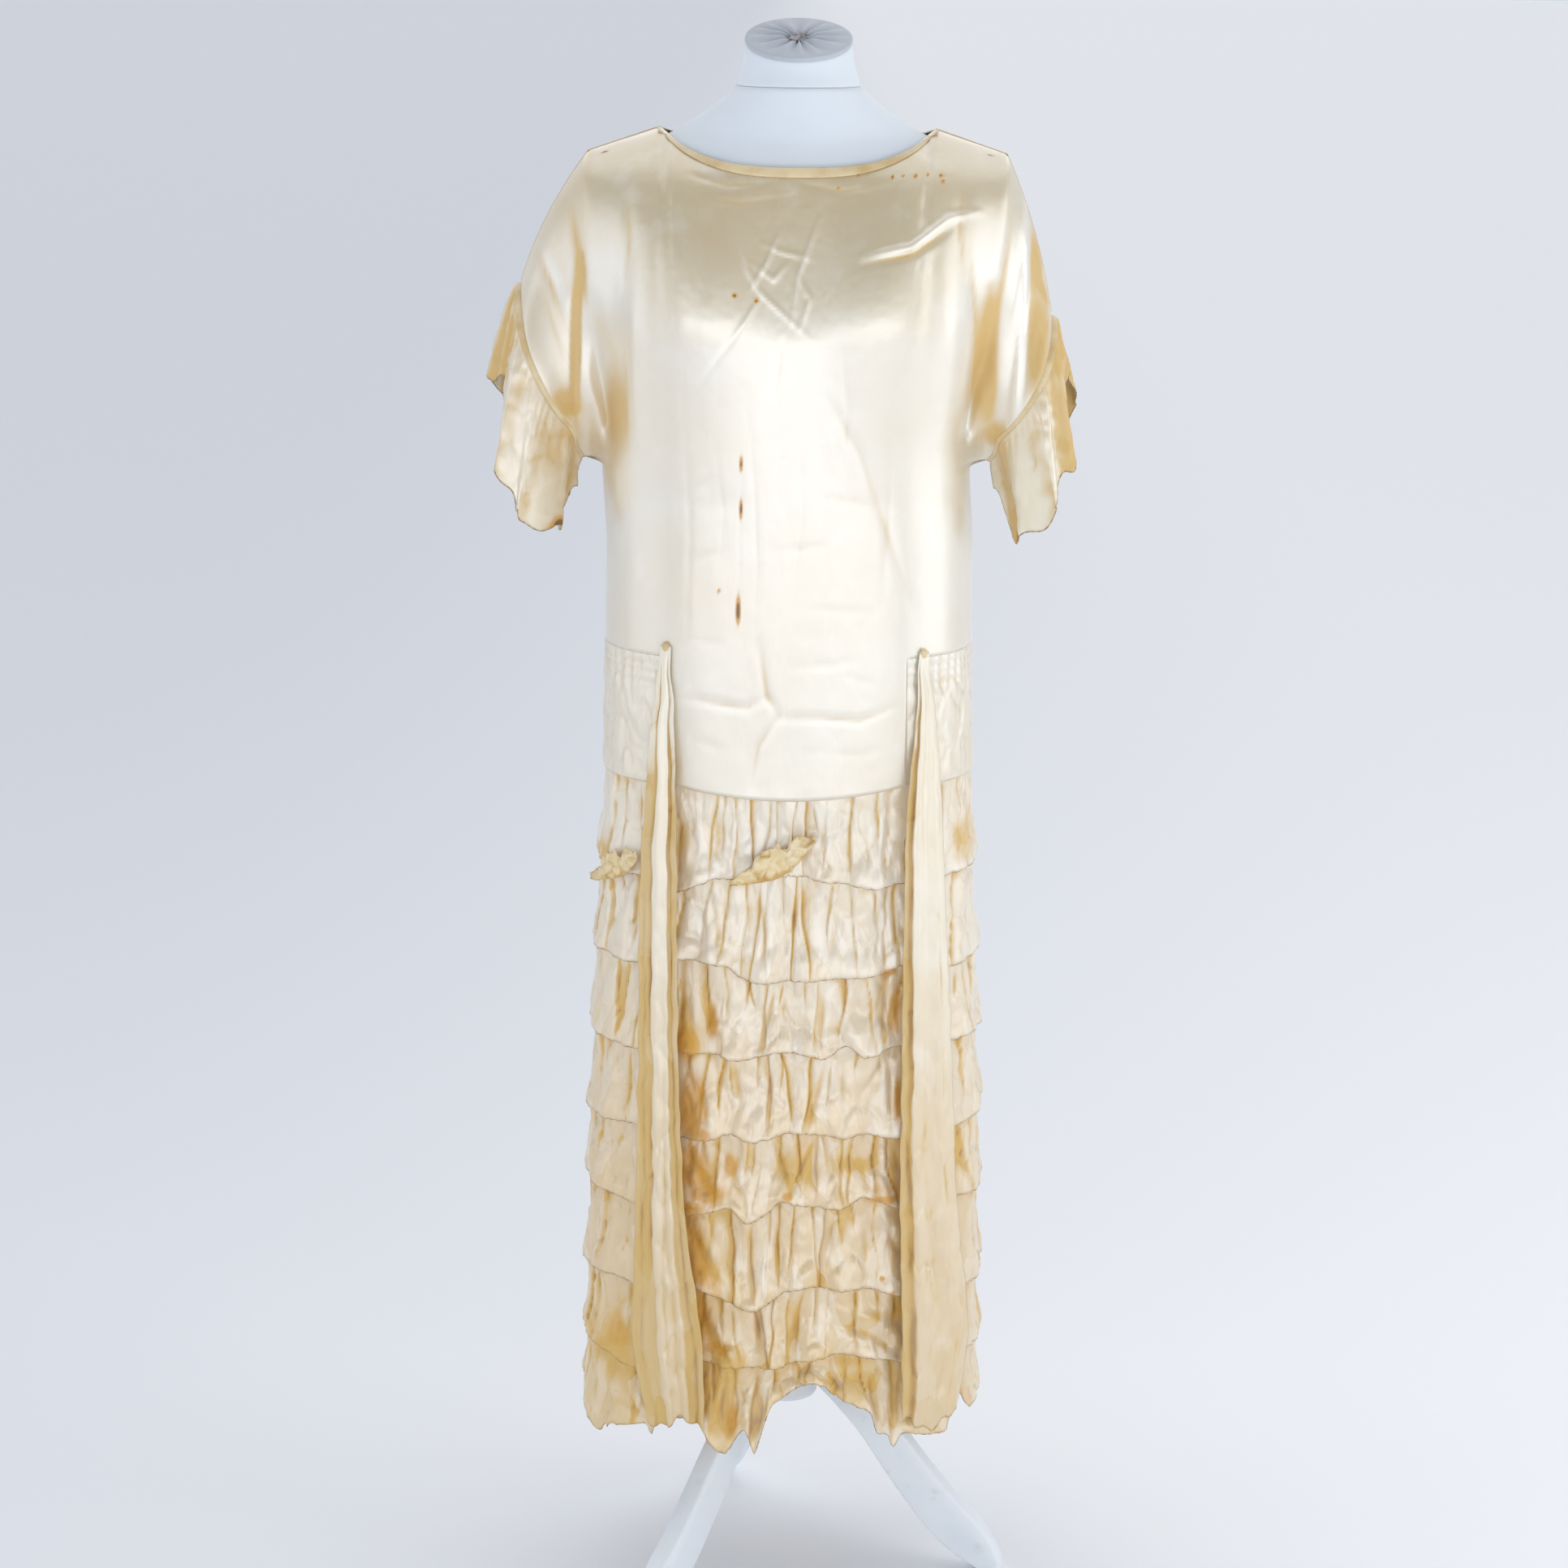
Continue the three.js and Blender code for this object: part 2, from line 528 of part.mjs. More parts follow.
// How far outside the plan the middle and the edge of a tier lie.
const middleOut = (number, angle) => 0.3 * ruffle(number, angle) - TIER_INSET;
const edgeOut = (number, angle) => ruffle(number, angle) + TIER_FULL;

tiers.forEach((tier, number) => {
  const cloth = grid(TIER_COLUMNS, 2, (i, j) => {
    const angle = (2 * Math.PI * i) / TIER_COLUMNS - Math.PI;
    const above = tierEdge(number - 1, angle);
    const edge = tierEdge(number, angle);
    if (j === 2) return onDress(edge, angle, edgeOut(number, angle));
    if (j === 1) return onDress((above + edge) / 2, angle, middleOut(number, angle));
    if (number === 0) return onDress(above + TIER_TUCK, angle, -TUCK_GAP);
    const share = (2 * TIER_TUCK) / (tierEdge(number - 2, angle) - above);
    const behind = lerp(edgeOut(number - 1, angle), middleOut(number - 1, angle), share);
    return onDress(above + TIER_TUCK, angle, behind - TUCK_GAP);
  }, true);
  add(`tier_${number + 1}`, wall(cloth), satin);
});

// ---- Streamers ----
const STREAMER_COLUMNS = 10;
const STREAMER_ROWS = 12;
for (const [name, { side, folds, phase, rows }] of Object.entries(streamers)) {
  const cloth = grid(STREAMER_COLUMNS, STREAMER_ROWS, (i, j) => {
    const u = side < 0 ? 1 - i / STREAMER_COLUMNS : i / STREAMER_COLUMNS;
    const height = lerp(rows[0].height, rows.at(-1).height, (j / STREAMER_ROWS) ** 1.4);
    const at = (column) => between(rows, "height", column, height);
    const x = side * lerp(at("inner"), at("outer"), u);
    const stand = at("stand") + at("fold") * Math.cos(2 * Math.PI * folds * u + phase);
    const across = x - between(dressPlan, "height", "shift", height);
    return new THREE.Vector3(x, -planReach(dressPlan, height, "front", across, stand), height);
  });
  add(`streamer_${name}`, wall(cloth), satin);
}

// ---- Dress form ----
const FORM_COLUMNS = 28;
const NECK_SIDES = 24;
const torsoRings = formPlan.map(({ height }) => (angle) => planPoint(formPlan, height, angle));
add("form_torso", loft(FORM_COLUMNS, torsoRings), jersey);

// A ring on the neck's slanted top, moved up along the slant's normal.
const slantedRing = (radius, rise) => (angle) => new THREE.Vector3(
  radius * Math.sin(angle),
  -radius * Math.cos(angle) * Math.cos(NECK_TOP.tilt) - rise * Math.sin(NECK_TOP.tilt),
  NECK_TOP.height - radius * Math.cos(angle) * Math.sin(NECK_TOP.tilt) + rise * Math.cos(NECK_TOP.tilt),
);
const neckFoot = (angle) => planPoint(formPlan, NECK_SEAM, angle).setZ(NECK_SEAM + SEAM);
add("form_neck", loft(NECK_SIDES, [neckFoot, slantedRing(NECK_TOP.radius, 0)]), jersey);
const capRings = [
  slantedRing(NECK_TOP.radius, SEAM),
  slantedRing(NECK_TOP.radius, CAP_CROWN / 2),
  slantedRing(NECK_TOP.radius * 0.9, CAP_CROWN),
  slantedRing(NECK_TOP.radius * 0.3, CAP_CROWN * 1.3),
];
add("neck_cap", loft(NECK_SIDES, capRings), greyJersey);

// ---- Stand ----
const upright = (radius, low, high, sides) => {
  const shape = new THREE.CylinderGeometry(radius, radius, high - low, sides);
  return shape.rotateX(Math.PI / 2).translate(0, 0, (low + high) / 2);
};
add("form_pole", upright(POLE_RADIUS, HUB.high + SEAM, FORM_FLOOR - SEAM, 16), whitePaint);
add("stand_hub", upright(HUB.radius, HUB.low, HUB.high, 36), whitePaint);

const legOutline = new THREE.Shape()
  .moveTo(HUB.radius + SEAM, legRoot.low)
  .splineThru(legUnderside.map(([x, z]) => new THREE.Vector2(x, z)))
  .lineTo(FOOT.toe, 0)
  .splineThru(legUpper.map(([x, z]) => new THREE.Vector2(x, z)))
  .lineTo(HUB.radius + SEAM, legRoot.high);
for (const [name, angle] of Object.entries(LEG_ANGLES)) {
  const sides = { depth: LEG_THICK, bevelEnabled: false, curveSegments: 2 };
  const plank = new THREE.ExtrudeGeometry(legOutline, sides);
  plank.rotateX(Math.PI / 2).translate(0, LEG_THICK / 2, 0);
  add(name, plank, whitePaint).rotation.z = degToRad(angle);
}

// The origin goes under the middle of the whole.
const middleOfBox = new THREE.Box3().setFromObject(dressOnForm).getCenter(new THREE.Vector3());
dressOnForm.position.set(-middleOfBox.x, -middleOfBox.y, 0);

export default dressOnForm;
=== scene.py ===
import random
from math import atan2, copysign, cos, degrees, exp, hypot, pi, radians, sin

import bmesh
import bpy
from mathutils import Matrix, Quaternion, Vector, noise


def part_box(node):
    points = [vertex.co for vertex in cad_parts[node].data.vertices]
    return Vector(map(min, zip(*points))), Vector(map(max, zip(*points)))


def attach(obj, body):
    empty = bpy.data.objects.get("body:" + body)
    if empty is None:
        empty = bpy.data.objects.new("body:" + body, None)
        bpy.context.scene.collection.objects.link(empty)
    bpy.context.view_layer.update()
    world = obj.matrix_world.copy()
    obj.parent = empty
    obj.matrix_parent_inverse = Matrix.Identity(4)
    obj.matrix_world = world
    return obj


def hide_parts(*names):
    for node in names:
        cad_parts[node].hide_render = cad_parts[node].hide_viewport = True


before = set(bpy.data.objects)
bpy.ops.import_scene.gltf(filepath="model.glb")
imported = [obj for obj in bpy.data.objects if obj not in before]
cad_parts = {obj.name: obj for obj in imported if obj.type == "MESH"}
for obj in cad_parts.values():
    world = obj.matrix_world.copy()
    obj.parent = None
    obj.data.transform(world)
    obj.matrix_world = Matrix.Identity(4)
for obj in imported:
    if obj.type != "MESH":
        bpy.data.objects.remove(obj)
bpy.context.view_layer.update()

# ---- Studio ----
# A pale seamless floor under a dark ceiling, with a broad low soft light in front and a tall one at each
# side, so that satin is bright where it stands upright and dark where it leans back.
# The camera stands a little above the dress and looks down at it.
POLE = sum(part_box("form_pole"), Vector()) / 2


class Wire:
    """A socket in the node tree of a finish, so that its maths is written as sums."""

    def __init__(self, tree, socket=None):
        self.tree, self.socket = tree, socket

    def node(self, kind, settings=(), sockets=(), out=0):
        """A node of any kind: its settings are made first, and then the values or wires of its sockets."""
        made = self.tree.nodes.new("ShaderNode" + kind)
        for name, value in dict(settings).items():
            if name != "stops":
                setattr(made, name, value)
                continue
            stops = made.color_ramp.elements
            stops.remove(stops[1])
            stops[0].position, stops[0].color = value[0][0], (*value[0][1], 1)
            for at, colour in value[1:]:
                stops.new(at).color = (*colour, 1)
        for name, value in dict(sockets).items():
            socket = made.inputs[name]
            if isinstance(value, Wire):
                self.tree.links.new(value.socket, socket)
            else:
                socket.default_value = (*value, 1) if socket.type == "RGBA" else value
        return Wire(self.tree, None if out is None else made.outputs[out])

    def maths(self, operation, *values):
        return self.node("Math", {"operation": operation}, enumerate(values))

    def __add__(self, other):
        return self.maths("ADD", self, other)

    def __sub__(self, other):
        return self.maths("SUBTRACT", self, other)

    def __rsub__(self, other):
        return self.maths("SUBTRACT", other, self)

    def __mul__(self, other):
        return self.maths("MULTIPLY", self, other)

    __radd__, __rmul__ = __add__, __mul__

    def step(self, low, high):
        """0 below low and 1 above high, smoothly between; high may be the lower of the two."""
        settings = {"interpolation_type": "SMOOTHSTEP"}
        return self.node("MapRange", settings, {"Value": self, "From Min": low, "From Max": high})

    def blend(self, first, second):
        """The first colour where this is 0, and the second where it is 1."""
        settings = {"data_type": "RGBA", "clamp_factor": True}
        return self.node("Mix", settings, {0: self, 6: first, 7: second}, out=2)

    def place(self):
        """Where a point lies in its piece, in metres."""
        return self.node("TexCoord", out="Object")

    def bump(self, strength, distance, height, under=None):
        """A surface that rises with height, laid over another such surface."""
        sockets = {"Strength": strength, "Distance": distance, "Height": height}
        if under:
            sockets["Normal"] = under
        return self.node("Bump", (), sockets)

    def mottle(self, where, scale, detail=3, rough=0.5):
        return self.node("TexNoise", (), {"Vector": where, "Scale": scale, "Detail": detail, "Roughness": rough})

    def stretched(self, where, by):
        return self.node("VectorMath", {"operation": "MULTIPLY"}, {0: where, 1: by})

    def bent(self, where, scale, by):
        """A place moved a little to and fro."""
        wander = self.node("TexNoise", (), {"Vector": where, "Scale": scale, "Detail": 2}, out=1)
        return self.node("VectorMath", {"operation": "MULTIPLY_ADD"}, {0: wander, 1: (by, by, by), 2: where})


def finish(name, surface):
    """A material whose surface function sets the shader's sockets from the tree's wires."""
    material = bpy.data.materials.new(name)
    material.use_nodes = True
    tree = material.node_tree
    tree.nodes.clear()
    shader = Wire(tree).node("BsdfPrincipled", (), surface(Wire(tree)))
    Wire(tree).node("OutputMaterial", (), {"Surface": shader}, out=None)
    return material


def paper(wires):
    across = wires.node("SeparateXYZ", (), {0: wires.place()})
    # The floor's colour is painted darker towards the left, from x = -1.6 m to 1.6 m: painted shade.
    return {"Base Color": across.step(-1.6, 1.6).blend((0.76, 0.79, 0.85), (0.95, 0.97, 1.0)), "Roughness": 0.9}


def put(name, data):
    """Puts a mesh, a lamp or a camera into the scene."""
    made = bpy.data.objects.new(name, data)
    bpy.context.scene.collection.objects.link(made)
    return made


def meshed(name, shape, material):
    mesh = bpy.data.meshes.new(name)
    shape.to_mesh(mesh)
    shape.free()
    mesh.materials.append(material)
    return put(name, mesh)


FLOOR_RADIUS, FLOOR_BELOW = 120, 0.0005  # metres, and how far it lies below the toes
shape = bmesh.new()
bmesh.ops.create_circle(shape, cap_ends=True, segments=96, radius=FLOOR_RADIUS)
floor = meshed("floor", shape, finish("studio_paper", paper))
floor.location.z = -FLOOR_BELOW

studio = bpy.data.worlds.new("studio")
studio.use_nodes = True
room = Wire(studio.node_tree)
up = room.node("SeparateXYZ", (), {0: room.node("TexCoord", out="Generated")}, out=2)
walls = up.step(0.2, 0.65).blend((0.66, 0.71, 0.78), (0.2, 0.2, 0.21))
studio.node_tree.links.new(walls.socket, studio.node_tree.nodes["Background"].inputs["Color"])
bpy.context.scene.world = studio
bpy.context.scene.view_settings.view_transform = "Standard"


def soft_light(name, place, towards, width, height, power, colour=(1, 1, 1)):
    lamp = bpy.data.lights.new(name, "AREA")
    lamp.shape, lamp.size, lamp.size_y = "RECTANGLE", width, height
    lamp.energy, lamp.color = power, colour
    held = put(name, lamp)
    held.location = place
    held.rotation_euler = (Vector(towards) - Vector(place)).to_track_quat("-Z", "Y").to_euler()
    held.visible_camera = False


soft_light("front_light", (0.1, -4.6, 1.0), (0, 0, 1.0), 7.6, 1.9, 76)
soft_light("left_light", (-3.4, -0.9, 1.6), (0, 0, 1.3), 2.4, 3.0, 15, (0.97, 0.98, 1))
soft_light("right_light", (3.4, -0.9, 1.6), (0, 0, 1.3), 2.4, 3.0, 30)

lamp = bpy.data.lights.new("ceiling_light", "SUN")
lamp.energy, lamp.angle = 1.75, radians(100)
put("ceiling_light", lamp).rotation_euler = Vector((0, -0.6, -1)).to_track_quat("-Z", "Y").to_euler()

CAMERA_AWAY, CAMERA_HEIGHT, CAMERA_DOWN, CAMERA_LEAN = 3.2, 1.531, 13.35, 0.55  # metres, metres, degrees, degrees
camera = put("camera", bpy.data.cameras.new("camera"))
camera.data.lens = 81.06
camera.data.shift_x = -9.5 / 1932
camera.data.clip_end = 400
camera.location = (POLE.x, POLE.y - CAMERA_AWAY, CAMERA_HEIGHT)
camera.rotation_mode = "QUATERNION"
camera.rotation_quaternion = (
    Quaternion((1, 0, 0), radians(90 - CAMERA_DOWN)) @ Quaternion((0, 0, 1), radians(CAMERA_LEAN))
)
bpy.context.scene.camera = camera

# ---- Stand ----
# Three curved plank legs of white painted wood, tenoned into a turned hub that carries the pole.
# Their edges are rounded over, and the paint shows faint brush marks.
LEG_THICK = 22
LEG_UNDER = [  # the lower and then the upper edge of a leg: out from the pole, and up
    (30.3, 180), (50, 160), (75, 131), (98, 97), (118, 69), (140, 41), (165, 17), (192, 0),
]
LEG_OVER = [
    (212, 0), (214, 8), (205, 28), (190, 49), (165, 75), (140, 105), (115, 137), (90, 166), (60, 200), (30.3, 236),
]
LEG_TURNS = {"leg_right": -10, "leg_left": -130, "leg_back": 110}
HUB_RADIUS, HUB_LOW, HUB_HIGH = 30, 166, 240
POLE_RADIUS, POLE_TOP = 14, 741.7
SEAT_GAP = 0.3
LEG_ROUND, HUB_ROUND, POLE_ROUND = 3.5, 6, 1
SHARP = radians(50)


def placed(x, y, z):
    """A point measured in millimetres from the foot of the pole, in metres from the origin."""
    return Vector((POLE.x + x / 1000, POLE.y + y / 1000, z / 1000))


def piece(name, shape, material, slot, *nodes):
    """Makes a finished shape a piece of the object, in place of its CAD nodes."""
    made = meshed(name, shape, material)
    made.data.shade_smooth()
    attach(made, "root")
    if nodes:
        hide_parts(*nodes)
    return made


def curve_through(points, steps):
    """Points on a smooth line through those given."""
    line = []
    for i in range(len(points) - 1):
        a, b, c, d = (Vector(points[min(max(k, 0), len(points) - 1)]) for k in range(i - 1, i + 3))
        for s in range(steps):
            t = s / steps
            bend = (2 * a - 5 * b + 4 * c - d) * t ** 2 + (3 * b - a - 3 * c + d) * t ** 3
            line.append(b + ((c - a) * t + bend) / 2)
    return line + [Vector(points[-1])]


def brushed_paint(wires):
    where = wires.place()
    strokes = wires.mottle(wires.stretched(where, (60, 60, 9)), 6, 4)
    wear = wires.mottle(where, 14, 5).step(0.52, 0.75)
    dirt = wires.mottle(where, 55, 3).step(0.6, 0.75) * 0.4
    return {
        "Base Color": dirt.blend(wear.blend((0.8, 0.84, 0.88), (0.74, 0.79, 0.84)), (0.6, 0.62, 0.62)),
        "Roughness": 0.34 + strokes * 0.22,
        "Coat Weight": 0.15,
        "Normal": wires.bump(0.12, 0.0006, strokes),
    }


stand_paint = finish("stand_paint", brushed_paint)


def drawn_out(name, shape, axis, length, round_over, segments, turn=0, foot=0):
    """Draws a flat shape out along an axis, rounds its rims over and stands it in its place on the pole's line."""
    pulled = bmesh.ops.extrude_face_region(shape, geom=shape.faces[:])["geom"]
    moved = [v for v in pulled if isinstance(v, bmesh.types.BMVert)]
    bmesh.ops.translate(shape, vec=axis * length / 1000, verts=moved)
    bmesh.ops.recalc_face_normals(shape, faces=shape.faces)
    rims = [e for e in shape.edges if abs((e.verts[0].co - e.verts[1].co).dot(axis)) < 1e-6]
    bmesh.ops.bevel(
        shape, geom=rims, offset=round_over / 1000, affect="EDGES", segments=segments, profile=0.5, material=-1,
    )
    stood = Matrix.Translation(placed(0, 0, foot)) @ Matrix.Rotation(radians(turn), 4, "Z")
    bmesh.ops.transform(shape, matrix=stood, verts=shape.verts)
    piece(name, shape, stand_paint, "stand_paint", name).data.set_sharp_from_angle(angle=SHARP)


for leg, turn in LEG_TURNS.items():
    shape = bmesh.new()
    outline = curve_through(LEG_UNDER, 4) + curve_through(LEG_OVER, 4)
    shape.faces.new([shape.verts.new((x / 1000, -LEG_THICK / 2000, z / 1000)) for x, z in outline])
    drawn_out(leg, shape, Vector((0, 1, 0)), LEG_THICK, LEG_ROUND, 3, turn)

for name, radius, low, high, round_over in (
    ("stand_hub", HUB_RADIUS, HUB_LOW, HUB_HIGH, HUB_ROUND),
    ("form_pole", POLE_RADIUS, HUB_HIGH + SEAT_GAP, POLE_TOP, POLE_ROUND),
):
    shape = bmesh.new()
    bmesh.ops.create_circle(shape, cap_ends=True, segments=64, radius=radius / 1000)
    drawn_out(name, shape, Vector((0, 0, 1)), high - low, round_over, 4, foot=low)

# ---- Dress form ----
# A padded body without head or limbs, covered in white jersey that is pulled tight and seamed round the neck.
# The neck is cut off at a slant and closed with a grey jersey cap, gathered to a small knot.
FORM = [  # height: half width, depth in front, depth behind, squareness
    (742, 158, 90, 98, 2.2), (830, 161, 96, 103, 2.2), (900, 157, 90, 98, 2.2), (1010, 127, 76, 80, 2.2),
    (1100, 138, 92, 86, 2.2), (1193, 147, 110, 92, 2.2), (1250, 152, 101, 92, 2.1), (1300, 164, 86, 84, 1.9),
    (1330, 177, 72, 72, 1.75), (1344, 184, 66, 68, 1.75), (1351, 183, 60, 62, 1.7), (1358, 157, 55, 58, 1.7),
    (1365, 122, 52, 56, 1.75), (1382, 91, 51, 55, 1.9), (1396, 71, 50, 54, 2), (1410, 56, 49, 52, 2),
]
NECK_SEAM = 1410
NECK_TOP, NECK_RADIUS, NECK_TILT = 1448, 47, radians(20)
CAP_CROWN = 5
CAP_FOLDS = 13


def lerp(a, b, t):
    return a + (b - a) * t


def bell(x, reach):
    """1 in the middle, and fading to nothing on both sides."""
    return exp(-(x / reach) ** 2)


def drift(*place):
    """A soft random rise and fall over a place, between about -1 and 1."""
    return noise.noise(Vector(place))


def smooth(t):
    t = min(max(t, 0), 1)
    return t * t * (3 - 2 * t)


def between(rows, column, at):
    """A column of a table at a value of its first column, smoothly through the rows without overshoot."""
    last = len(rows) - 1
    x = min(max(at, rows[0][0]), rows[last][0])
    i = 0
    while i < last - 1 and rows[i + 1][0] < x:
        i += 1

    def slope(a, b):
        return (rows[b][column] - rows[a][column]) / (rows[b][0] - rows[a][0])

    run = rows[i + 1][0] - rows[i][0]
    mid = slope(i, i + 1)

    def limit(s):
        return 0 if s * mid <= 0 else copysign(min(abs(s), 2 * abs(mid)), mid)

    start = limit(slope(i - 1, i + 1) if i > 0 else mid) * run
    end = limit(slope(i, i + 2) if i + 2 <= last else mid) * run
    rise = mid * run
    t = (x - rows[i][0]) / run
    return rows[i][column] + t * (start + t * (3 * rise - 2 * start - end + t * (start + end - 2 * rise)))


def plan_point(plan, height, angle, out=0.0):
    """A point on a plan at an angle from the middle of the front, moved out along the plan's normal."""
    half = between(plan, 1, height)
    depth = between(plan, 2 if cos(angle) >= 0 else 3, height)
    square = between(plan, 4, height)
    s, c = sin(angle) / half, cos(angle) / depth
    r = (abs(s) ** square + abs(c) ** square) ** (-1 / square)
    steep_x = copysign(abs(s * r) ** (square - 1), s) / half
    steep_y = copysign(abs(c * r) ** (square - 1), c) / depth
    size = hypot(steep_x, steep_y)
    return Vector((r * sin(angle) + steep_x / size * out, -r * cos(angle) - steep_y / size * out, height))


def sheet(columns, rows, place, closed=False, cut=None, size=(1, 1), spread=lambda u: u):
    """A grid bent into place. place(u, v) gives a point in millimetres from the pole; u runs to the right
    as seen from outside, and v down. spread(u) is the share of the cloth's width that lies to its left.
    Returns the shape and the (u, v) of each of its points."""
    shape = bmesh.new()
    weave = shape.loops.layers.uv.new("weave")
    shape.verts.layers.float.new("fold")
    shape.verts.layers.float.new("stain")
    bmesh.ops.create_grid(shape, x_segments=columns, y_segments=rows, size=0.5)
    across = 2 * max(v.co.x for v in shape.verts)
    where = {v: (v.co.x / across + 0.5, 0.5 - v.co.y / across) for v in shape.verts}
    for face in shape.faces:
        for loop in face.loops:
            u, v = where[loop.vert]
            loop[weave].uv = (spread(u) * size[0], v * size[1])
    if cut:
        gone = []
        for face in shape.faces:
            spots = [where[v] for v in face.verts]
            if cut(sum(u for u, v in spots) / 4, sum(v for u, v in spots) / 4):
                gone.append(face)
        bmesh.ops.delete(shape, geom=gone, context="FACES")
    for vert in shape.verts:
        vert.co = placed(*place(*where[vert]))
    if closed:
        bmesh.ops.remove_doubles(shape, verts=shape.verts, dist=2e-6)
    return shape, {v: where[v] for v in shape.verts}


def worked(shape, where, relief):
    """Moves each point along its normal. relief(u, v, point) gives the rise in millimetres, how deep the
    point lies in a fold (below 0 on a ridge), which the satin paints as shade and highlight, and how stained it is."""
    fold = shape.verts.layers.float["fold"]
    stain = shape.verts.layers.float["stain"]
    shape.normal_update()
    moves = []
    for vert in shape.verts:
        point = (vert.co - Vector((POLE.x, POLE.y, 0))) * 1000
        moves.append((vert, vert.normal.copy(), relief(*where[vert], point)))
    for vert, normal, (rise, deep, stained) in moves:
        vert.co += normal * rise / 1000
        vert[fold] = deep
        vert[stain] = stained


def lidded(shape, height=None):
    """Closes the open rims of a shape: all in one go, or those below a height first and then those above it."""
    rims = [e for e in shape.edges if e.is_boundary]
    if height is None:
        bmesh.ops.contextual_create(shape, geom=rims)
        bmesh.ops.recalc_face_normals(shape, faces=shape.faces)
        return shape
    for above in (False, True):
        rim = [e for e in rims if (e.verts[0].co.z * 1000 > height) == above]
        bmesh.ops.contextual_create(shape, geom=rim)
    return shape


def tight_jersey(pale, dark):
    def surface(wires):
        where = wires.place()
        bands = {"wave_type": "BANDS", "bands_direction": "Z"}
        knit = wires.node("TexWave", bands, {"Vector": where, "Scale": 420, "Distortion": 1.5})
        slack = wires.mottle(wires.stretched(where, (1, 1, 3)), 9, 3)
        patch = wires.mottle(where, 5, 3).step(0.4, 0.7)
        return {
            "Base Color": patch.blend(pale, dark),
            "Roughness": 0.78 + knit * 0.14,
            "Sheen Weight": 0.3,
            "Sheen Roughness": 0.5,
            "Normal": wires.bump(0.25, 0.0003, knit, wires.bump(0.3, 0.004, slack)),
        }
    return surface


white_jersey = finish("white_jersey", tight_jersey((0.76, 0.82, 0.88), (0.7, 0.76, 0.84)))
grey_jersey = finish("grey_jersey", tight_jersey((0.5, 0.54, 0.6), (0.36, 0.39, 0.44)))


def torso_place(u, v):
    height = lerp(NECK_SEAM, FORM[0][0], v)
    return plan_point(FORM, height, 2 * pi * u - pi)


shape, where = sheet(112, 150, torso_place, closed=True, size=(0.9, 0.7))
piece("form_torso", lidded(shape, 1000), white_jersey, "form_jersey", "form_torso")


def slanted(radius, angle, rise):
    """A point over the neck's slanted top."""
    return Vector((
        radius * sin(angle),
        -radius * cos(angle) * cos(NECK_TILT) - rise * sin(NECK_TILT),
        NECK_TOP - radius * cos(angle) * sin(NECK_TILT) + rise * cos(NECK_TILT),
    ))


def neck_place(u, v):
    angle = 2 * pi * u - pi
    foot = plan_point(FORM, NECK_SEAM, angle)
    foot.z = NECK_SEAM + SEAT_GAP
    waist = 1.6 * sin(pi * v)
    point = slanted(NECK_RADIUS, angle, 0).lerp(foot, v)
    seam = 0.9 * bell(v - 1, 0.05) + 0.7 * bell(v, 0.04)
    away = Vector((sin(angle), -cos(angle), 0))
    return point - away * (waist + seam)


shape, where = sheet(96, 26, neck_place, closed=True, size=(0.3, 0.05))
piece("form_neck", lidded(shape, NECK_SEAM + 5), white_jersey, "form_jersey", "form_neck")


def cap_place(u, v):
    """From the rim's underside (v = 1) over the edge to the middle (v = 0)."""
    angle = 2 * pi * u
    reach = min(1, v / 0.8)
    over = smooth((v - 0.8) / 0.2)
    radius = NECK_RADIUS * (1.01 * reach + 0.012 * sin(pi * over))
    pleat = cos(CAP_FOLDS * angle + 1.1 * sin(3 * angle) + 0.6 * sin(5 * angle + 1))
    depth = 1.9 * pleat * sin(pi * min(1, reach) ** 0.6) * (1 - over)
    dish = -2.6 * bell(radius - 9, 5)
    crown = CAP_CROWN * (1.15 - 0.25 * reach ** 3) * (1 - over) + 0.5 * over
    return slanted(radius, -angle, crown + depth + dish * (1 - over))


shape, where = sheet(156, 30, cap_place, closed=True, size=(0.3, 0.05))
piece("neck_cap", lidded(shape), grey_jersey, "cap_jersey", "neck_cap")


def knotted(wires):
    where = wires.place()
    twist = wires.mottle(wires.stretched(where, (1, 1, 2)), 260, 4)
    return {
        "Base Color": twist.step(0.4, 0.62).blend((0.2, 0.17, 0.17), (0.45, 0.44, 0.46)),
        "Roughness": 0.85,
        "Normal": wires.bump(0.6, 0.001, twist),
    }


shape = bmesh.new()
bmesh.ops.create_uvsphere(shape, u_segments=40, v_segments=24, radius=0.0062)
for vert in shape.verts:
    x, y, z = vert.co
    folds = 1 + 0.2 * sin(5 * atan2(y, x) + z * 700) + 0.3 * noise.noise(vert.co * 240)
    vert.co = Vector((x * folds * 1.5, y * folds, z * 0.62))
knot_place = Matrix.Translation(placed(*slanted(0, 0, 4.6)))
knot_turn = Matrix.Rotation(NECK_TILT, 4, "X") @ Matrix.Rotation(0.35, 4, "Z")
bmesh.ops.transform(shape, matrix=knot_place @ knot_turn, verts=shape.verts)
piece("cap_knot", shape, finish("knot_jersey", knotted), "cap_jersey")

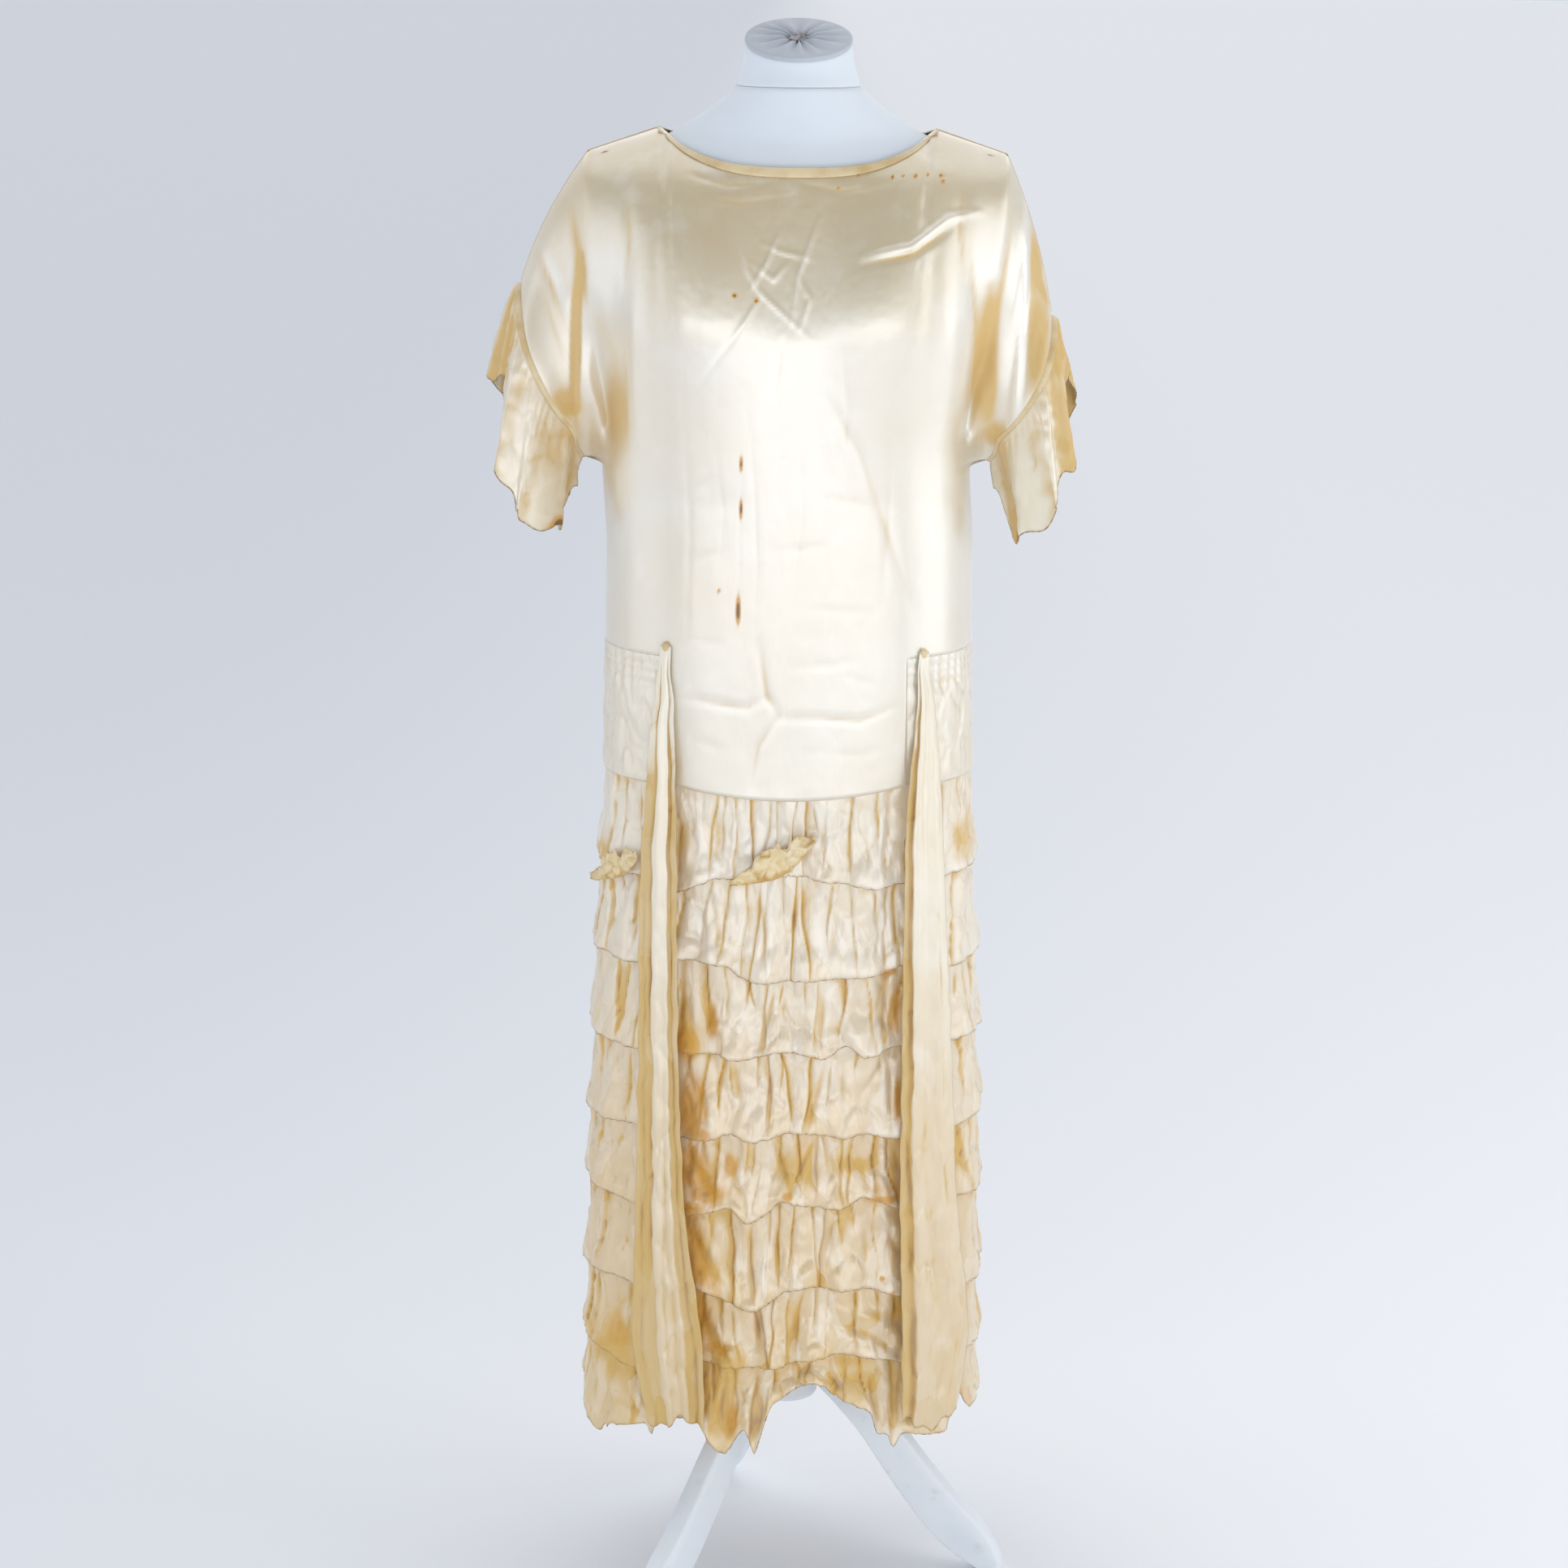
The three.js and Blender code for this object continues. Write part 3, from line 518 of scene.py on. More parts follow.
# ---- Front ----
# One piece of ivory silk satin from the neckline to the dropped waist, cut in one with the sleeves' fronts.
# It hangs from the shoulders, creased where it was folded away, with rust in a few short slits.
DRESS = [  # height: half width, depth in front, depth behind, squareness, shift to the right
    (150, 190, 135, 132, 2.4, -5), (400, 186, 130, 124, 2.4, -4), (620, 179, 125, 117, 2.4, -4),
    (786, 171, 121, 112, 2.4, -4), (912, 168, 120, 109, 2.4, -4), (1000, 167, 119, 106, 2.4, -4),
    (1077, 167, 119, 104, 2.4, -8), (1200, 166, 120, 105, 2.4, -6),
]
UNDERARM, HIP_SEAM, WAIST, WAIST_RISE = 1077, 912, 784, 11
PANEL_EDGE = radians(46)
NECK_HALF, NECK_POINT, NECK_STAND = 123, 1373, 7.5
SHOULDER_HALF, SHOULDER_TIP = 187, 1351.4
MOUTH, ARMHOLE_FOLD, UNDERARM_STUB = 51, 22, 16
FORM_CLEAR = 3.4
FACES = {"front": (-1, 1342, 1193), "back": (1, 1358, 1235)}  # side, height of the neckline, fullest height
ARM_LINE = {-1: ((232, 1291), (248, 1234)), 1: ((219, 1282), (230, 1209))}  # the line over each arm: bend and end
NECK_COLUMNS, TIP_COLUMN, HALF_COLUMNS = 8, 11, 17
COLUMN_ANGLES = [(0, 0), (NECK_COLUMNS, PANEL_EDGE), (TIP_COLUMN, radians(66)), (HALF_COLUMNS, radians(90))]


def shift_at(height):
    return between(DRESS, 5, height)


def on_dress(height, angle, out=0.0):
    point = plan_point(DRESS, height, angle, out)
    point.x += shift_at(height)
    return point


def plan_reach(plan, height, column, across, out=0.0):
    """How far a plan reaches in front of or behind its middle, at a distance across."""
    half, depth, square = between(plan, 1, height), between(plan, column, height), between(plan, 4, height)
    ratio = min(1, abs(across) / (half + out))
    return (depth + out) * (1 - ratio ** square) ** (1 / square)


def top_edge(face, arm, column):
    side, neck_height, _ = FACES[face]
    if column <= NECK_COLUMNS:
        share = 1 - (1 - column / NECK_COLUMNS) ** 1.5
        height = lerp(neck_height, NECK_POINT, share ** 3)
        stand = lerp(NECK_STAND, 0.75, share ** 8)
        reach = plan_reach(FORM, height, 2 if side < 0 else 3, NECK_HALF * share)
        return Vector((NECK_HALF * share, side * (reach + stand), height))
    if column <= TIP_COLUMN:
        t = (column - NECK_COLUMNS) / (TIP_COLUMN - NECK_COLUMNS)
        return Vector((lerp(NECK_HALF, SHOULDER_HALF, t), 0, lerp(NECK_POINT, SHOULDER_TIP, t)))
    t = (column - TIP_COLUMN) / (HALF_COLUMNS - TIP_COLUMN)
    (bend_half, bend_height), (end_half, end_height) = ARM_LINE[arm]
    return Vector((
        (1 - t) ** 2 * SHOULDER_HALF + 2 * t * (1 - t) * bend_half + t ** 2 * end_half,
        0,
        (1 - t) ** 2 * SHOULDER_TIP + 2 * t * (1 - t) * bend_height + t ** 2 * end_height,
    ))


def upper_point(face, arm, column, down):
    """A point of the right half between the top edge (down = 0) and the level of the underarm (down = 1)."""
    side, _, fullest = FACES[face]
    top = top_edge(face, arm, column)
    angle = between(COLUMN_ANGLES, 1, column)
    height = lerp(top.z, UNDERARM, down)
    body = plan_point(DRESS, height, angle if side < 0 else pi - angle)
    body.x += arm * shift_at(height)
    to_shoulder = smooth(column / NECK_COLUMNS)
    on_sleeve = smooth((column - TIP_COLUMN) / (HALF_COLUMNS - TIP_COLUMN))
    full = max(0.35, (top.z - fullest) / (top.z - UNDERARM))
    left = 1 - min(1, down / full)
    forward = (1 - left ** (1.35 + 1.15 * to_shoulder)) ** (1 - 0.42 * to_shoulder)
    mouth = side * MOUTH * max(0, sin(pi * down)) ** lerp(0.7, 1, smooth(2 * down - 1))
    fold = ARMHOLE_FOLD * bell(column - TIP_COLUMN - 1, 1) * smooth((down - 0.3) / 0.5)
    y = lerp(lerp(top.y, body.y, forward), mouth, on_sleeve) - side * fold * smooth((1 - down) / 0.15)
    stub = UNDERARM_STUB * max(0, (column - TIP_COLUMN) / (HALF_COLUMNS - TIP_COLUMN)) ** 2
    x = lerp(top.x, body.x, lerp(smooth(down), down ** 2, on_sleeve)) + stub * smooth((down - 0.8) / 0.2)
    return Vector((x, y, height))


def waist_edge(angle):
    return WAIST + WAIST_RISE * min(1, (angle / PANEL_EDGE) ** 2)


UPPER_SHARE, SEAM_SHARE = 0.6, 0.82  # shares of a body piece's rows down to the underarm, and to the hip seam


def column_at(u):
    """The column at a share of the way across, with the points closer together in the middle."""
    across = 2 * u - 1
    return HALF_COLUMNS * across * (0.62 + 0.38 * across * across)


def body_spread(u):
    return column_at(u) / HALF_COLUMNS / 2 + 0.5


def body_place(face):
    side = FACES[face][0]

    def place(u, v):
        across = -side * column_at(u)
        arm = -1 if across < 0 else 1
        column = abs(across)
        if v <= UPPER_SHARE:
            point = upper_point(face, arm, column, (v / UPPER_SHARE) ** 1.4)
            if v > 0:
                least = plan_point(FORM, point.z, atan2(point.x, -point.y), FORM_CLEAR)
                if hypot(point.x, point.y) < hypot(least.x, least.y):
                    point.x, point.y = least.x, least.y
        else:
            angle = between(COLUMN_ANGLES, 1, column)
            if v <= SEAM_SHARE:
                height = lerp(UNDERARM, HIP_SEAM, (v - UPPER_SHARE) / (SEAM_SHARE - UPPER_SHARE))
            else:
                low = waist_edge(angle) if side < 0 else WAIST + WAIST_RISE
                height = lerp(HIP_SEAM, low, (v - SEAM_SHARE) / (1 - SEAM_SHARE))
            point = plan_point(DRESS, height, angle if side < 0 else pi - angle)
            point.x += arm * shift_at(height)
        return Vector((arm * point.x, side * max(side * point.y, 0.3), point.z))

    return place


def softened(shape, where, times):
    """Rounds the cloth below the corners of the neckline."""
    near = []
    for vert in shape.verts:
        u, v = where[vert]
        if 0.004 < v < UPPER_SHARE and abs(abs(column_at(u)) - NECK_COLUMNS) < 1.6:
            near.append(vert)
    for _ in range(times):
        bmesh.ops.smooth_vert(shape, verts=near, factor=0.5, use_axis_x=True, use_axis_y=True, use_axis_z=True)


def creased(x, z, creases):
    """How far creases sink a point. Each is a row of its depth (below 0 for a ridge), its half width and the
    points that it runs through, and it fades towards both ends."""
    sunk = 0
    for depth, width, *line in creases:
        if not (min(p[0] for p in line) - 3 * width < x < max(p[0] for p in line) + 3 * width):
            continue
        if not (min(p[1] for p in line) - 3 * width < z < max(p[1] for p in line) + 3 * width):
            continue
        best, share = 9e9, 0
        for k, ((ax, az), (bx, bz)) in enumerate(zip(line, line[1:])):
            dx, dz = bx - ax, bz - az
            t = min(max(((x - ax) * dx + (z - az) * dz) / (dx * dx + dz * dz), 0), 1)
            gap = hypot(x - ax - dx * t, z - az - dz * t)
            if gap < best:
                best, share = gap, (k + t) / (len(line) - 1)
        near = best / width
        ends = 0.25 + 0.75 * sin(pi * min(max(share, 0.03), 0.97))
        sunk += depth * (1 - 0.4 * near * near) * exp(-near * lerp(1, near, 0.5)) * ends
    return sunk


CRUMPLE_SEED = 5
noise.seed_set(CRUMPLE_SEED)


def crumple(point, size, seed):
    """Crushed cloth: flat plates that each lean their own way, with sharp creases between them, from about
    -1 to 1. Another seed gives another crumple of the same size."""
    at = Vector(point) / size + Vector((seed, 0, 0))
    at += 0.3 * noise.noise_vector(at * 1.4)
    near, cells = noise.voronoi(at)
    lean = 1.3 * (at - cells[0]).dot(noise.noise_vector(cells[0] * 5.3))
    return 1.7 * min(near[1] - near[0], 0.6) - 0.5 + lean


FRONT_CREASES = [  # depth, half width, points across and up
    (-1.6, 2.2, (-54, 1285), (-44, 1256), (-33, 1238), (14, 1197)),
    (-1.8, 2.2, (20, 1300), (8, 1268), (2, 1252), (-4, 1211)), (-1.4, 2, (-30, 1279), (-15, 1272), (13, 1266)),
    (-1.5, 2.2, (-30, 1236), (-43, 1214), (-71, 1174), (-103, 1130)),
    (1.3, 3, (-11, 1197), (-14, 1168), (-18, 1140)), (-3, 3.4, (56, 1267), (98, 1277), (131, 1300), (160, 1305)),
    (1.8, 3, (58, 1260), (100, 1270), (134, 1292)), (-1.5, 2.2, (-14, 1290), (-26, 1262), (-40, 1240)),
    (-1.4, 2.2, (-40, 1262), (-20, 1248), (-8, 1262)), (1.6, 5, (28, 1147), (57, 1097), (88, 1009), (111, 942)),
    (1.3, 4, (-43, 1154), (-34, 1068), (-31, 996), (-34, 923)), (1, 3, (-47, 1088), (-47, 1048), (-49, 957)),
    (2.2, 4.5, (-30, 930), (-23, 882), (-12, 863)), (1.8, 4, (-12, 863), (-30, 834), (-37, 790)),
    (2, 4, (-103, 875), (-85, 875), (-63, 872), (-41, 869), (-23, 879)),
    (2, 4, (-15, 860), (24, 861), (61, 858), (104, 874)), (0.9, 3.5, (-20, 1010), (30, 1016)),
    (0.9, 3.5, (10, 960), (70, 955)), (0.8, 3, (-90, 1000), (-60, 1010)), (0.9, 3.5, (0, 905), (60, 912)),
    (0.8, 3, (-92, 930), (-60, 925)), (0.8, 3, (20, 1060), (70, 1050)), (0.8, 3, (-95, 1060), (-70, 1075)),
    (0.9, 3.5, (-95, 1336), (-60, 1327), (-20, 1330)), (0.9, 3.5, (0, 1329), (40, 1323), (80, 1330)),
    (0.9, 4, (-85, 1316), (-50, 1312), (-5, 1318)), (0.8, 3.5, (-96, 1150), (-92, 1020), (-95, 930)),
    (0.9, 4, (80, 1160), (84, 1060), (79, 960)), (0.7, 3, (8, 830), (60, 826), (92, 832)),
    (0.7, 3, (-90, 838), (-60, 830)), (0.8, 3, (45, 898), (80, 888)), (-1.4, 2.2, (2, 1250), (12, 1232), (3, 1205)),
    (0.9, 3, (40, 1190), (46, 1130), (42, 1080)), (0.8, 3, (-70, 1110), (-62, 1040), (-66, 990)),
    (0.8, 3, (4, 1120), (8, 1040), (0, 960)), (1.3, 6, (-146, 1096), (-147, 1140), (-146, 1210)),
    (1.6, 6, (158, 1096), (158, 1140), (156, 1210), (151, 1290)),
    (-1.6, 6, (-137, 1100), (-138, 1160), (-137, 1230)), (-1.6, 6, (149, 1100), (149, 1160), (148, 1230)),
    (3.8, 4, (-198, 1124), (-196, 1171), (-195, 1224), (-192, 1262)),
    (-1.8, 6, (-186, 1136), (-184, 1180), (-182, 1240)), (2, 7, (174, 1120), (170, 1170), (172, 1240)),
    (0.7, 4, (-232, 1262), (-218, 1234), (-206, 1196)), (0.5, 4, (-228, 1232), (-218, 1206), (-207, 1170)),
    (-0.8, 4, (-226, 1268), (-212, 1240), (-205, 1216)),
    (-4.2, 4, (203, 1322), (202, 1250), (200, 1170), (195, 1112)), (1.6, 3, (226, 1222), (217, 1240), (211, 1262)),
    (1.4, 3, (224, 1204), (216, 1190), (213, 1160)), (1.3, 5, (-200, 1300), (-190, 1250), (-178, 1180)),
    (1.3, 5, (192, 1308), (184, 1250), (172, 1180)), (1.1, 5, (-150, 1340), (-146, 1280), (-150, 1220)),
    (1.1, 5, (146, 1342), (142, 1290), (146, 1230)),
]
FOLD_SHADE_SPOTS = [  # painted shade in deep gold, in the valleys beside the sleeves and in their folds: across, up, reach
    (-160, 1124, 14, 44), (170, 1167, 14, 66), (180, 1105, 16, 14), (216, 1190, 14, 66), (213, 1255, 10, 38),
    (-198, 1165, 3.4, 46), (-206, 1130, 12, 12),
]
SLITS = [
    (-47, 1088, 1.4, 7), (-47, 1048, 1.5, 9), (-49, 957, 2.4, 13), (-54, 1234, 2.2, 2.2), (-35, 1230, 2, 2),
    (-66, 973, 1.8, 1.8),
]
SPECKS = [
    (53, 1337, 1.6), (83, 1335, 1.8), (92, 1336, 1.4), (103, 1336, 1.8), (114, 1337, 1.4), (126, 1336, 2),
    (127, 1331, 1.8), (36, 1326, 1.4),
]


def spots(x, z, marks):
    """The strongest of some round or oval marks: rows of place across and up, and reach."""
    return max(exp(-((x - a) / w) ** 2 - ((z - b) / (h or [w])[0]) ** 2) for a, b, w, *h in marks)


CHEST_HEIGHT, CHEST_ABOVE, CHEST_BELOW, CHEST_LIFT = 1209, 92, 145, 12  # where the cloth stands off, and how far


def front_relief(u, v, point):
    x, y, z = point
    upper = smooth((z - 1170) / 60)
    sleeve = smooth((abs(x) - 150) / 20)
    sunk = creased(x, z, FRONT_CREASES) * lerp(lerp(0.42, 0.85, upper), 0.8, sleeve)
    sides = smooth((abs(x) - 15) / 65) * smooth((166 - abs(x)) / 42)
    reach = CHEST_ABOVE if z > CHEST_HEIGHT else CHEST_BELOW
    off = hypot((z - CHEST_HEIGHT) / reach, 0.1) - 0.1
    drape = CHEST_LIFT * sides * max(0, 1 - off) ** 1.1
    drape += 0.5 * drift(x / 38, 3, z / 150) + 0.2 * drift(x / 15, 8, z / 70)
    fine = 0.12 * crumple((x, 0, z * 0.8), 24, 5) + 0.1 * crumple((x, 0, z), 9, 6) * (0.4 + upper)
    ease = smooth(v / 0.05) * smooth((1 - v) / 0.02)
    body = ease * (drape + fine - sunk)
    marks = 1.6 * spots(x, z, SLITS + SPECKS) if abs(x) < 140 else 0
    # The second value paints shade in the creases and highlight on the ridges; the spots beside the sleeves paint
    # shade in their valleys, and the last term paints the left sleeve darker and duller (painted shade, with less
    # gloss).
    shade_spots = 1.05 * spots(x, z, FOLD_SHADE_SPOTS) * smooth((abs(x - 7) - 146) / 9)
    dull = 0.34 * smooth((-172 - x) / 14)
    return body, min(1.15, sunk / 1.6 + shade_spots + dull), marks


GOLD = (0.66, 0.43, 0.13)
TONE_HEIGHT = 1.5  # metres from the floor to the last of a satin's bands of tone


def satin(bands, deep=GOLD, gloss=1.0, crinkle=0.06, lines=0.0, aside=0.0, haze=0.33):
    """Aged silk satin: its tone changes with height in bands, which lie higher by a share aside at the sides. Its
    colour
    is painted with light and shade: deep gold in the folds, pale on the ridges, dark lines between its plates and
    some plates paler as a sheen. It is dull in the folds, glossy on the ridges, and rusty where it is stained."""
    def surface(wires):
        where = wires.place()
        height = wires.node("SeparateXYZ", (), {0: where}, out=2)
        across = wires.maths("ABSOLUTE", wires.node("SeparateXYZ", (), {0: where}) - POLE.x)
        weave = wires.node("TexCoord", out="UV")
        fold, stain = (wires.node("Attribute", {"attribute_name": name}, out="Fac") for name in ("fold", "stain"))
        level = height * (1 / TONE_HEIGHT) - across.step(0.12, 0.165) * aside
        tone = wires.node("ValToRGB", {"stops": bands}, {0: level})
        cloud = wires.mottle(where, 7, 4).step(0.36, 0.68)
        patch = wires.mottle(where, 26, 4, 0.6)
        plates = wires.bent(wires.stretched(weave, (46, 19, 1)), 0.8, 1.1)
        edge = wires.node("TexVoronoi", {"feature": "DISTANCE_TO_EDGE"}, {"Vector": plates, "Scale": 1})
        plate = wires.node("TexVoronoi", (), {"Vector": plates, "Scale": 1}, out=1)
        streaks = wires.mottle(wires.stretched(where, (1, 1, 0.22)), 75, 4, 0.6)
        rust = (stain + (streaks - 0.5) * 0.8).step(0.12, 0.85)
        colour = tone
        for share, layer in (
            (cloud * 0.22, deep),
            (patch.step(0.52, 0.72) * 0.3, (0.86, 0.8, 0.7)),  # bleached patches
            # painted shade: deep gold where the cloth lies in a fold
            (fold.step(0.12, 1.0) * 0.92, deep),
            (fold.step(-0.1, -0.9) * 0.5, (0.9, 0.85, 0.75)),  # painted highlight: paler on the ridges
            # painted shade: dark brown in the cores of the deepest creases
            (fold.step(1.1, 2.0) * 0.75, (0.4, 0.2, 0.05)),
            ((edge.step(0.04, 0) * patch.step(0.42, 0.6)) * lines, deep),  # painted shade: dark lines in the creases between the plates
            # painted highlight: some of the plates paler, as a sheen on the facets
            (plate.step(0.35, 0.9) * crinkle * 1.2, (0.9, 0.86, 0.78)),
            (rust * 0.9, (0.64, 0.32, 0.04)),
            ((stain + (patch - 0.5) * 0.3).step(0.9, 1.2) * 0.9, (0.13, 0.06, 0.02)),  # brown hearts of the rust
        ):
            colour = share.blend(colour, layer)
        bump = None
        for strength, distance, height in (
            (crinkle, 0.004, wires.mottle(wires.stretched(weave, (1.4, 1, 1)), 24, 3)),
            (min(1, crinkle * 1.6), 0.0016, edge.step(0, 0.3) + plate * 0.4),
            (crinkle * 0.7, 0.0016, wires.mottle(wires.stretched(weave, (1, 1.3, 1)), 70, 4, 0.55)),
            (0.12, 0.0002, wires.mottle(wires.stretched(weave, (40, 900, 1)), 1, 3)),  # slubs of the silk
        ):
            bump = wires.bump(strength, distance, height, bump)
        return {
            "Base Color": colour,
            "Roughness": 0.31 + patch * 0.08 + fold.step(0.15, 0.9) * 0.34 + rust * 0.2,
            "IOR": 1.75,
            "Coat Weight": (1 - fold.step(0.1, 0.8) * 0.95) * (1 - rust * 0.9) * gloss,
            "Coat Roughness": haze,
            "Coat IOR": 2.8,
            "Sheen Weight": 0.1,
            "Sheen Roughness": 0.35,
            "Normal": bump,
        }
    return surface


# Its darker khaki and gold bands above about 1.2 m are painted shade over the chest, where the satin leans back
# from the light; aside lifts them at the sides.
body_satin = finish("body_satin", satin([
    (0.5, (0.75, 0.69, 0.56)), (0.79, (0.75, 0.69, 0.57)), (0.82, (0.66, 0.56, 0.37)), (0.92, (0.62, 0.5, 0.27)),
], aside=0.05))
BODY_WALL, GATHERED_WALL = 1.0, 0.9


def cloth(name, made, material, slot, nodes, thick, with_pieces=()):
    """Finishes a worked sheet as a piece of cloth with its thickness."""
    cut = piece(name, made, material, slot, *nodes)
    wall = cut.modifiers.new("thickness", "SOLIDIFY")
    wall.thickness, wall.offset = thick / 1000, 0
    return cut


def thread(name, path, radius, material, slot, closed, *nodes, knots=0):
    """A round thread or piping along a path of points, swelling a little at each of its knots."""
    count = len(path)

    def ring(u, v):
        k = round(u * (count if closed else count - 1))
        here = path[k % count]
        after = path[(k + 1) % count] if closed else path[min(k + 1, count - 1)]
        before = path[(k - 1) % count] if closed else path[max(k - 1, 0)]
        along = (after - before).normalized()
        side = along.cross(Vector((0.2, 0.3, 1))).normalized()
        turn = 2 * pi * v
        r = radius * (1 + (0.35 * sin(pi * knots * u) ** 2 if knots else 0))
        if not closed and k in (0, count - 1):
            r *= 0.3
        return here + (side * cos(turn) + along.cross(side) * sin(turn)) * r

    tube, _ = sheet(count if closed else count - 1, 6, ring, closed=True, size=(1, 0.01))
    return piece(name, lidded(tube), material, slot, *nodes)


def row_of(where, v):
    """The points of a sheet's row, from left to right, in millimetres from the pole."""
    found = sorted((spot[0], vert) for vert, spot in where.items() if abs(spot[1] - v) < 1e-4)
    return [(vert.co - Vector((POLE.x, POLE.y, 0))) * 1000 for _, vert in found]


def bias_satin(wires):
    where = wires.place()
    twill = wires.node("TexWave", {"bands_direction": "DIAGONAL"}, {"Vector": where, "Scale": 240, "Distortion": 2})
    patch = wires.mottle(where, 40, 4)
    return {
        "Base Color": patch.step(0.35, 0.7).blend((0.76, 0.62, 0.38), (0.62, 0.44, 0.2)),
        "Roughness": 0.36 + patch * 0.16,
        "IOR": 1.55,
        "Sheen Weight": 0.15,
        "Normal": wires.bump(0.3, 0.0004, twill + patch),
    }


binding_satin = finish("binding_satin", bias_satin)


def sewing(wires):
    twist = wires.mottle(wires.place(), 900, 2)
    return {"Base Color": twist.blend((0.5, 0.33, 0.14), (0.68, 0.5, 0.26)), "Roughness": 0.6}


sewing_silk = finish("sewing_silk", sewing)


NECK_STITCHES, PROBE = 118, 0.03  # PROBE is how far down the cloth's slope is felt


def neck_binding(face):
    """A bias strip, folded over the neckline and run down with a row of small stitches."""
    side = FACES[face][0]
    name = "neck_binding_" + face

    def at(u, down):
        """A point of the cloth along the neckline, at a share of the way down to the underarm."""
        across = -side * (u - 0.5) * 2 * NECK_COLUMNS * 0.985
        arm = -1 if across < 0 else 1
        point = upper_point(face, arm, abs(across), down)
        return Vector((arm * point.x, point.y, point.z))

    def band(u, v):
        """Round the strip's section, from its lower edge over the outside and the top to the inside."""
        edge = at(u, 0)
        step = at(u, PROBE) - edge
        away = Vector((edge.x * 0.4, side * 60, 26)).normalized()
        turn = 2 * pi * v
        down = (4.4 - 4.7 * cos(turn)) * PROBE / step.length
        stand = 1.6 + abs(2 * u - 1) ** 3 + sin(turn)
        return at(u, max(0, down)) + step / PROBE * min(0, down) + away * stand

    strip, _ = sheet(150, 12, band, closed=True, size=(0.3, 0.02))
    binding = piece(name, lidded(strip), binding_satin, "binding_satin", name)
    stitches = bmesh.new()
    for k in range(NECK_STITCHES):
        u = (k + 0.5) / NECK_STITCHES
        step = at(u, PROBE) - at(u, 0)
        middle = at(u, 0.3 / step.length) + Vector((0, side, 0.6)) * (1 + abs(2 * u - 1) ** 3)
        along = (at(min(1, u + 0.004), 0.012) - at(max(0, u - 0.004), 0.012)).normalized()
        turn = along.to_track_quat("X", "Z").to_matrix().to_4x4()
        done = bmesh.ops.create_icosphere(stitches, subdivisions=1, radius=0.0004)["verts"]
        laid = Matrix.Translation(placed(*middle)) @ turn @ Matrix.Diagonal((2.4, 1, 0.8, 1))
        bmesh.ops.transform(stitches, matrix=laid, verts=done)
    sewn = piece("neck_stitches_" + face, stitches, sewing_silk, "binding_satin")
    return [binding, sewn]


def beside_panel(u, v):
    """The corners that are cut away below the hip seam, on both sides of the middle panel."""
    return v > SEAM_SHARE and abs(column_at(u)) > NECK_COLUMNS


shape, where = sheet(210, 190, body_place("front"), cut=beside_panel, size=(0.5, 0.62), spread=body_spread)
softened(shape, where, 16)
worked(shape, where, front_relief)
cloth(
    "front", shape, body_satin, "satin", ["front"], BODY_WALL,
    neck_binding("front"),
)

# ---- Back ----
# The same satin, cut in one with the backs of the sleeves, plain from the neckline to the dropped waist.
# It hangs in soft upright folds from the shoulder blades.
BACK_CREASES = [
    (2, 9, (-92, 1240), (-96, 1100), (-88, 940)), (2, 9, (88, 1230), (96, 1090), (90, 930)),
    (1.6, 7, (-40, 1180), (-44, 1040), (-30, 900)), (1.6, 7, (34, 1200), (42, 1060), (30, 880)),
    (1.4, 5, (-120, 900), (-60, 880), (0, 888), (70, 878), (124, 896)),
    (2.4, 7, (-166, 1112), (-146, 1150), (-120, 1200)), (2.4, 7, (150, 1110), (134, 1150), (112, 1200)),
    (1.2, 4, (-70, 1300), (-10, 1290), (60, 1302)), (1.2, 5, (10, 1140), (50, 1000), (70, 860)),
    (-1.6, 7, (-66, 1220), (-70, 1060), (-60, 900)), (2, 6, (-200, 1130), (-198, 1180), (-192, 1240)),
    (2, 6, (186, 1130), (184, 1180), (180, 1230)), (-1.6, 7, (64, 1210), (70, 1060), (62, 910)),
    (1.8, 5, (-242, 1226), (-222, 1236), (-200, 1256)), (1.8, 5, (224, 1202), (206, 1214), (188, 1240)),
    (1, 4, (-90, 830), (-30, 820), (30, 828)),
]


def back_relief(u, v, point):
    x, y, z = point
    sunk = creased(x, z, BACK_CREASES)
    drape = 1.3 * drift(x / 44, 31, z / 190) + 0.4 * drift(x / 18, 37, z / 80)
    fine = 0.2 * crumple((x, 40, z * 0.7), 22, 9)
    ease = smooth(v / 0.05) * smooth((1 - v) / 0.02)
    # The second value paints the creases deep gold: painted shade.
    return ease * (drape + fine - sunk), sunk / 2.4, 0


shape, where = sheet(140, 130, body_place("back"), size=(0.5, 0.6), spread=body_spread)
softened(shape, where, 10)
worked(shape, where, back_relief)
cloth(
    "back", shape, body_satin, "satin", ["back"], BODY_WALL,
    neck_binding("back"),
)

# The fronts and backs are joined along the shoulder and the top of each arm.
for name, arm in (("left", -1), ("right", 1)):
    line = [top_edge("front", arm, lerp(NECK_COLUMNS, HALF_COLUMNS, k / 60)) for k in range(61)]
    path = [Vector((arm * p.x, 0, p.z + 0.35)) for p in line]
    thread("shoulder_seam_" + name, path, 0.8, sewing_silk, "satin", False, knots=60)

# ---- Hip yokes ----
# A ruched piece of satin fills each side between the hip seam and the dropped waist.
# Three rows of gathering threads draw it up along the seam, and below them it is crushed.
YOKE_LINES = [904, 896, 887]


def outward(side, u):
    """The share of the way from a side piece's inner edge to its outer one, or on a sleeve round its mouth."""
    return 1 - u if side < 0 else u


def yoke_place(side):
    def place(u, v):
        share = outward(side, u)
        angle = lerp(PANEL_EDGE - 0.006, pi / 2 + 0.004, share)
        return on_dress(lerp(HIP_SEAM + 1, WAIST + WAIST_RISE - 1, v), side * angle, -0.4)
    return place


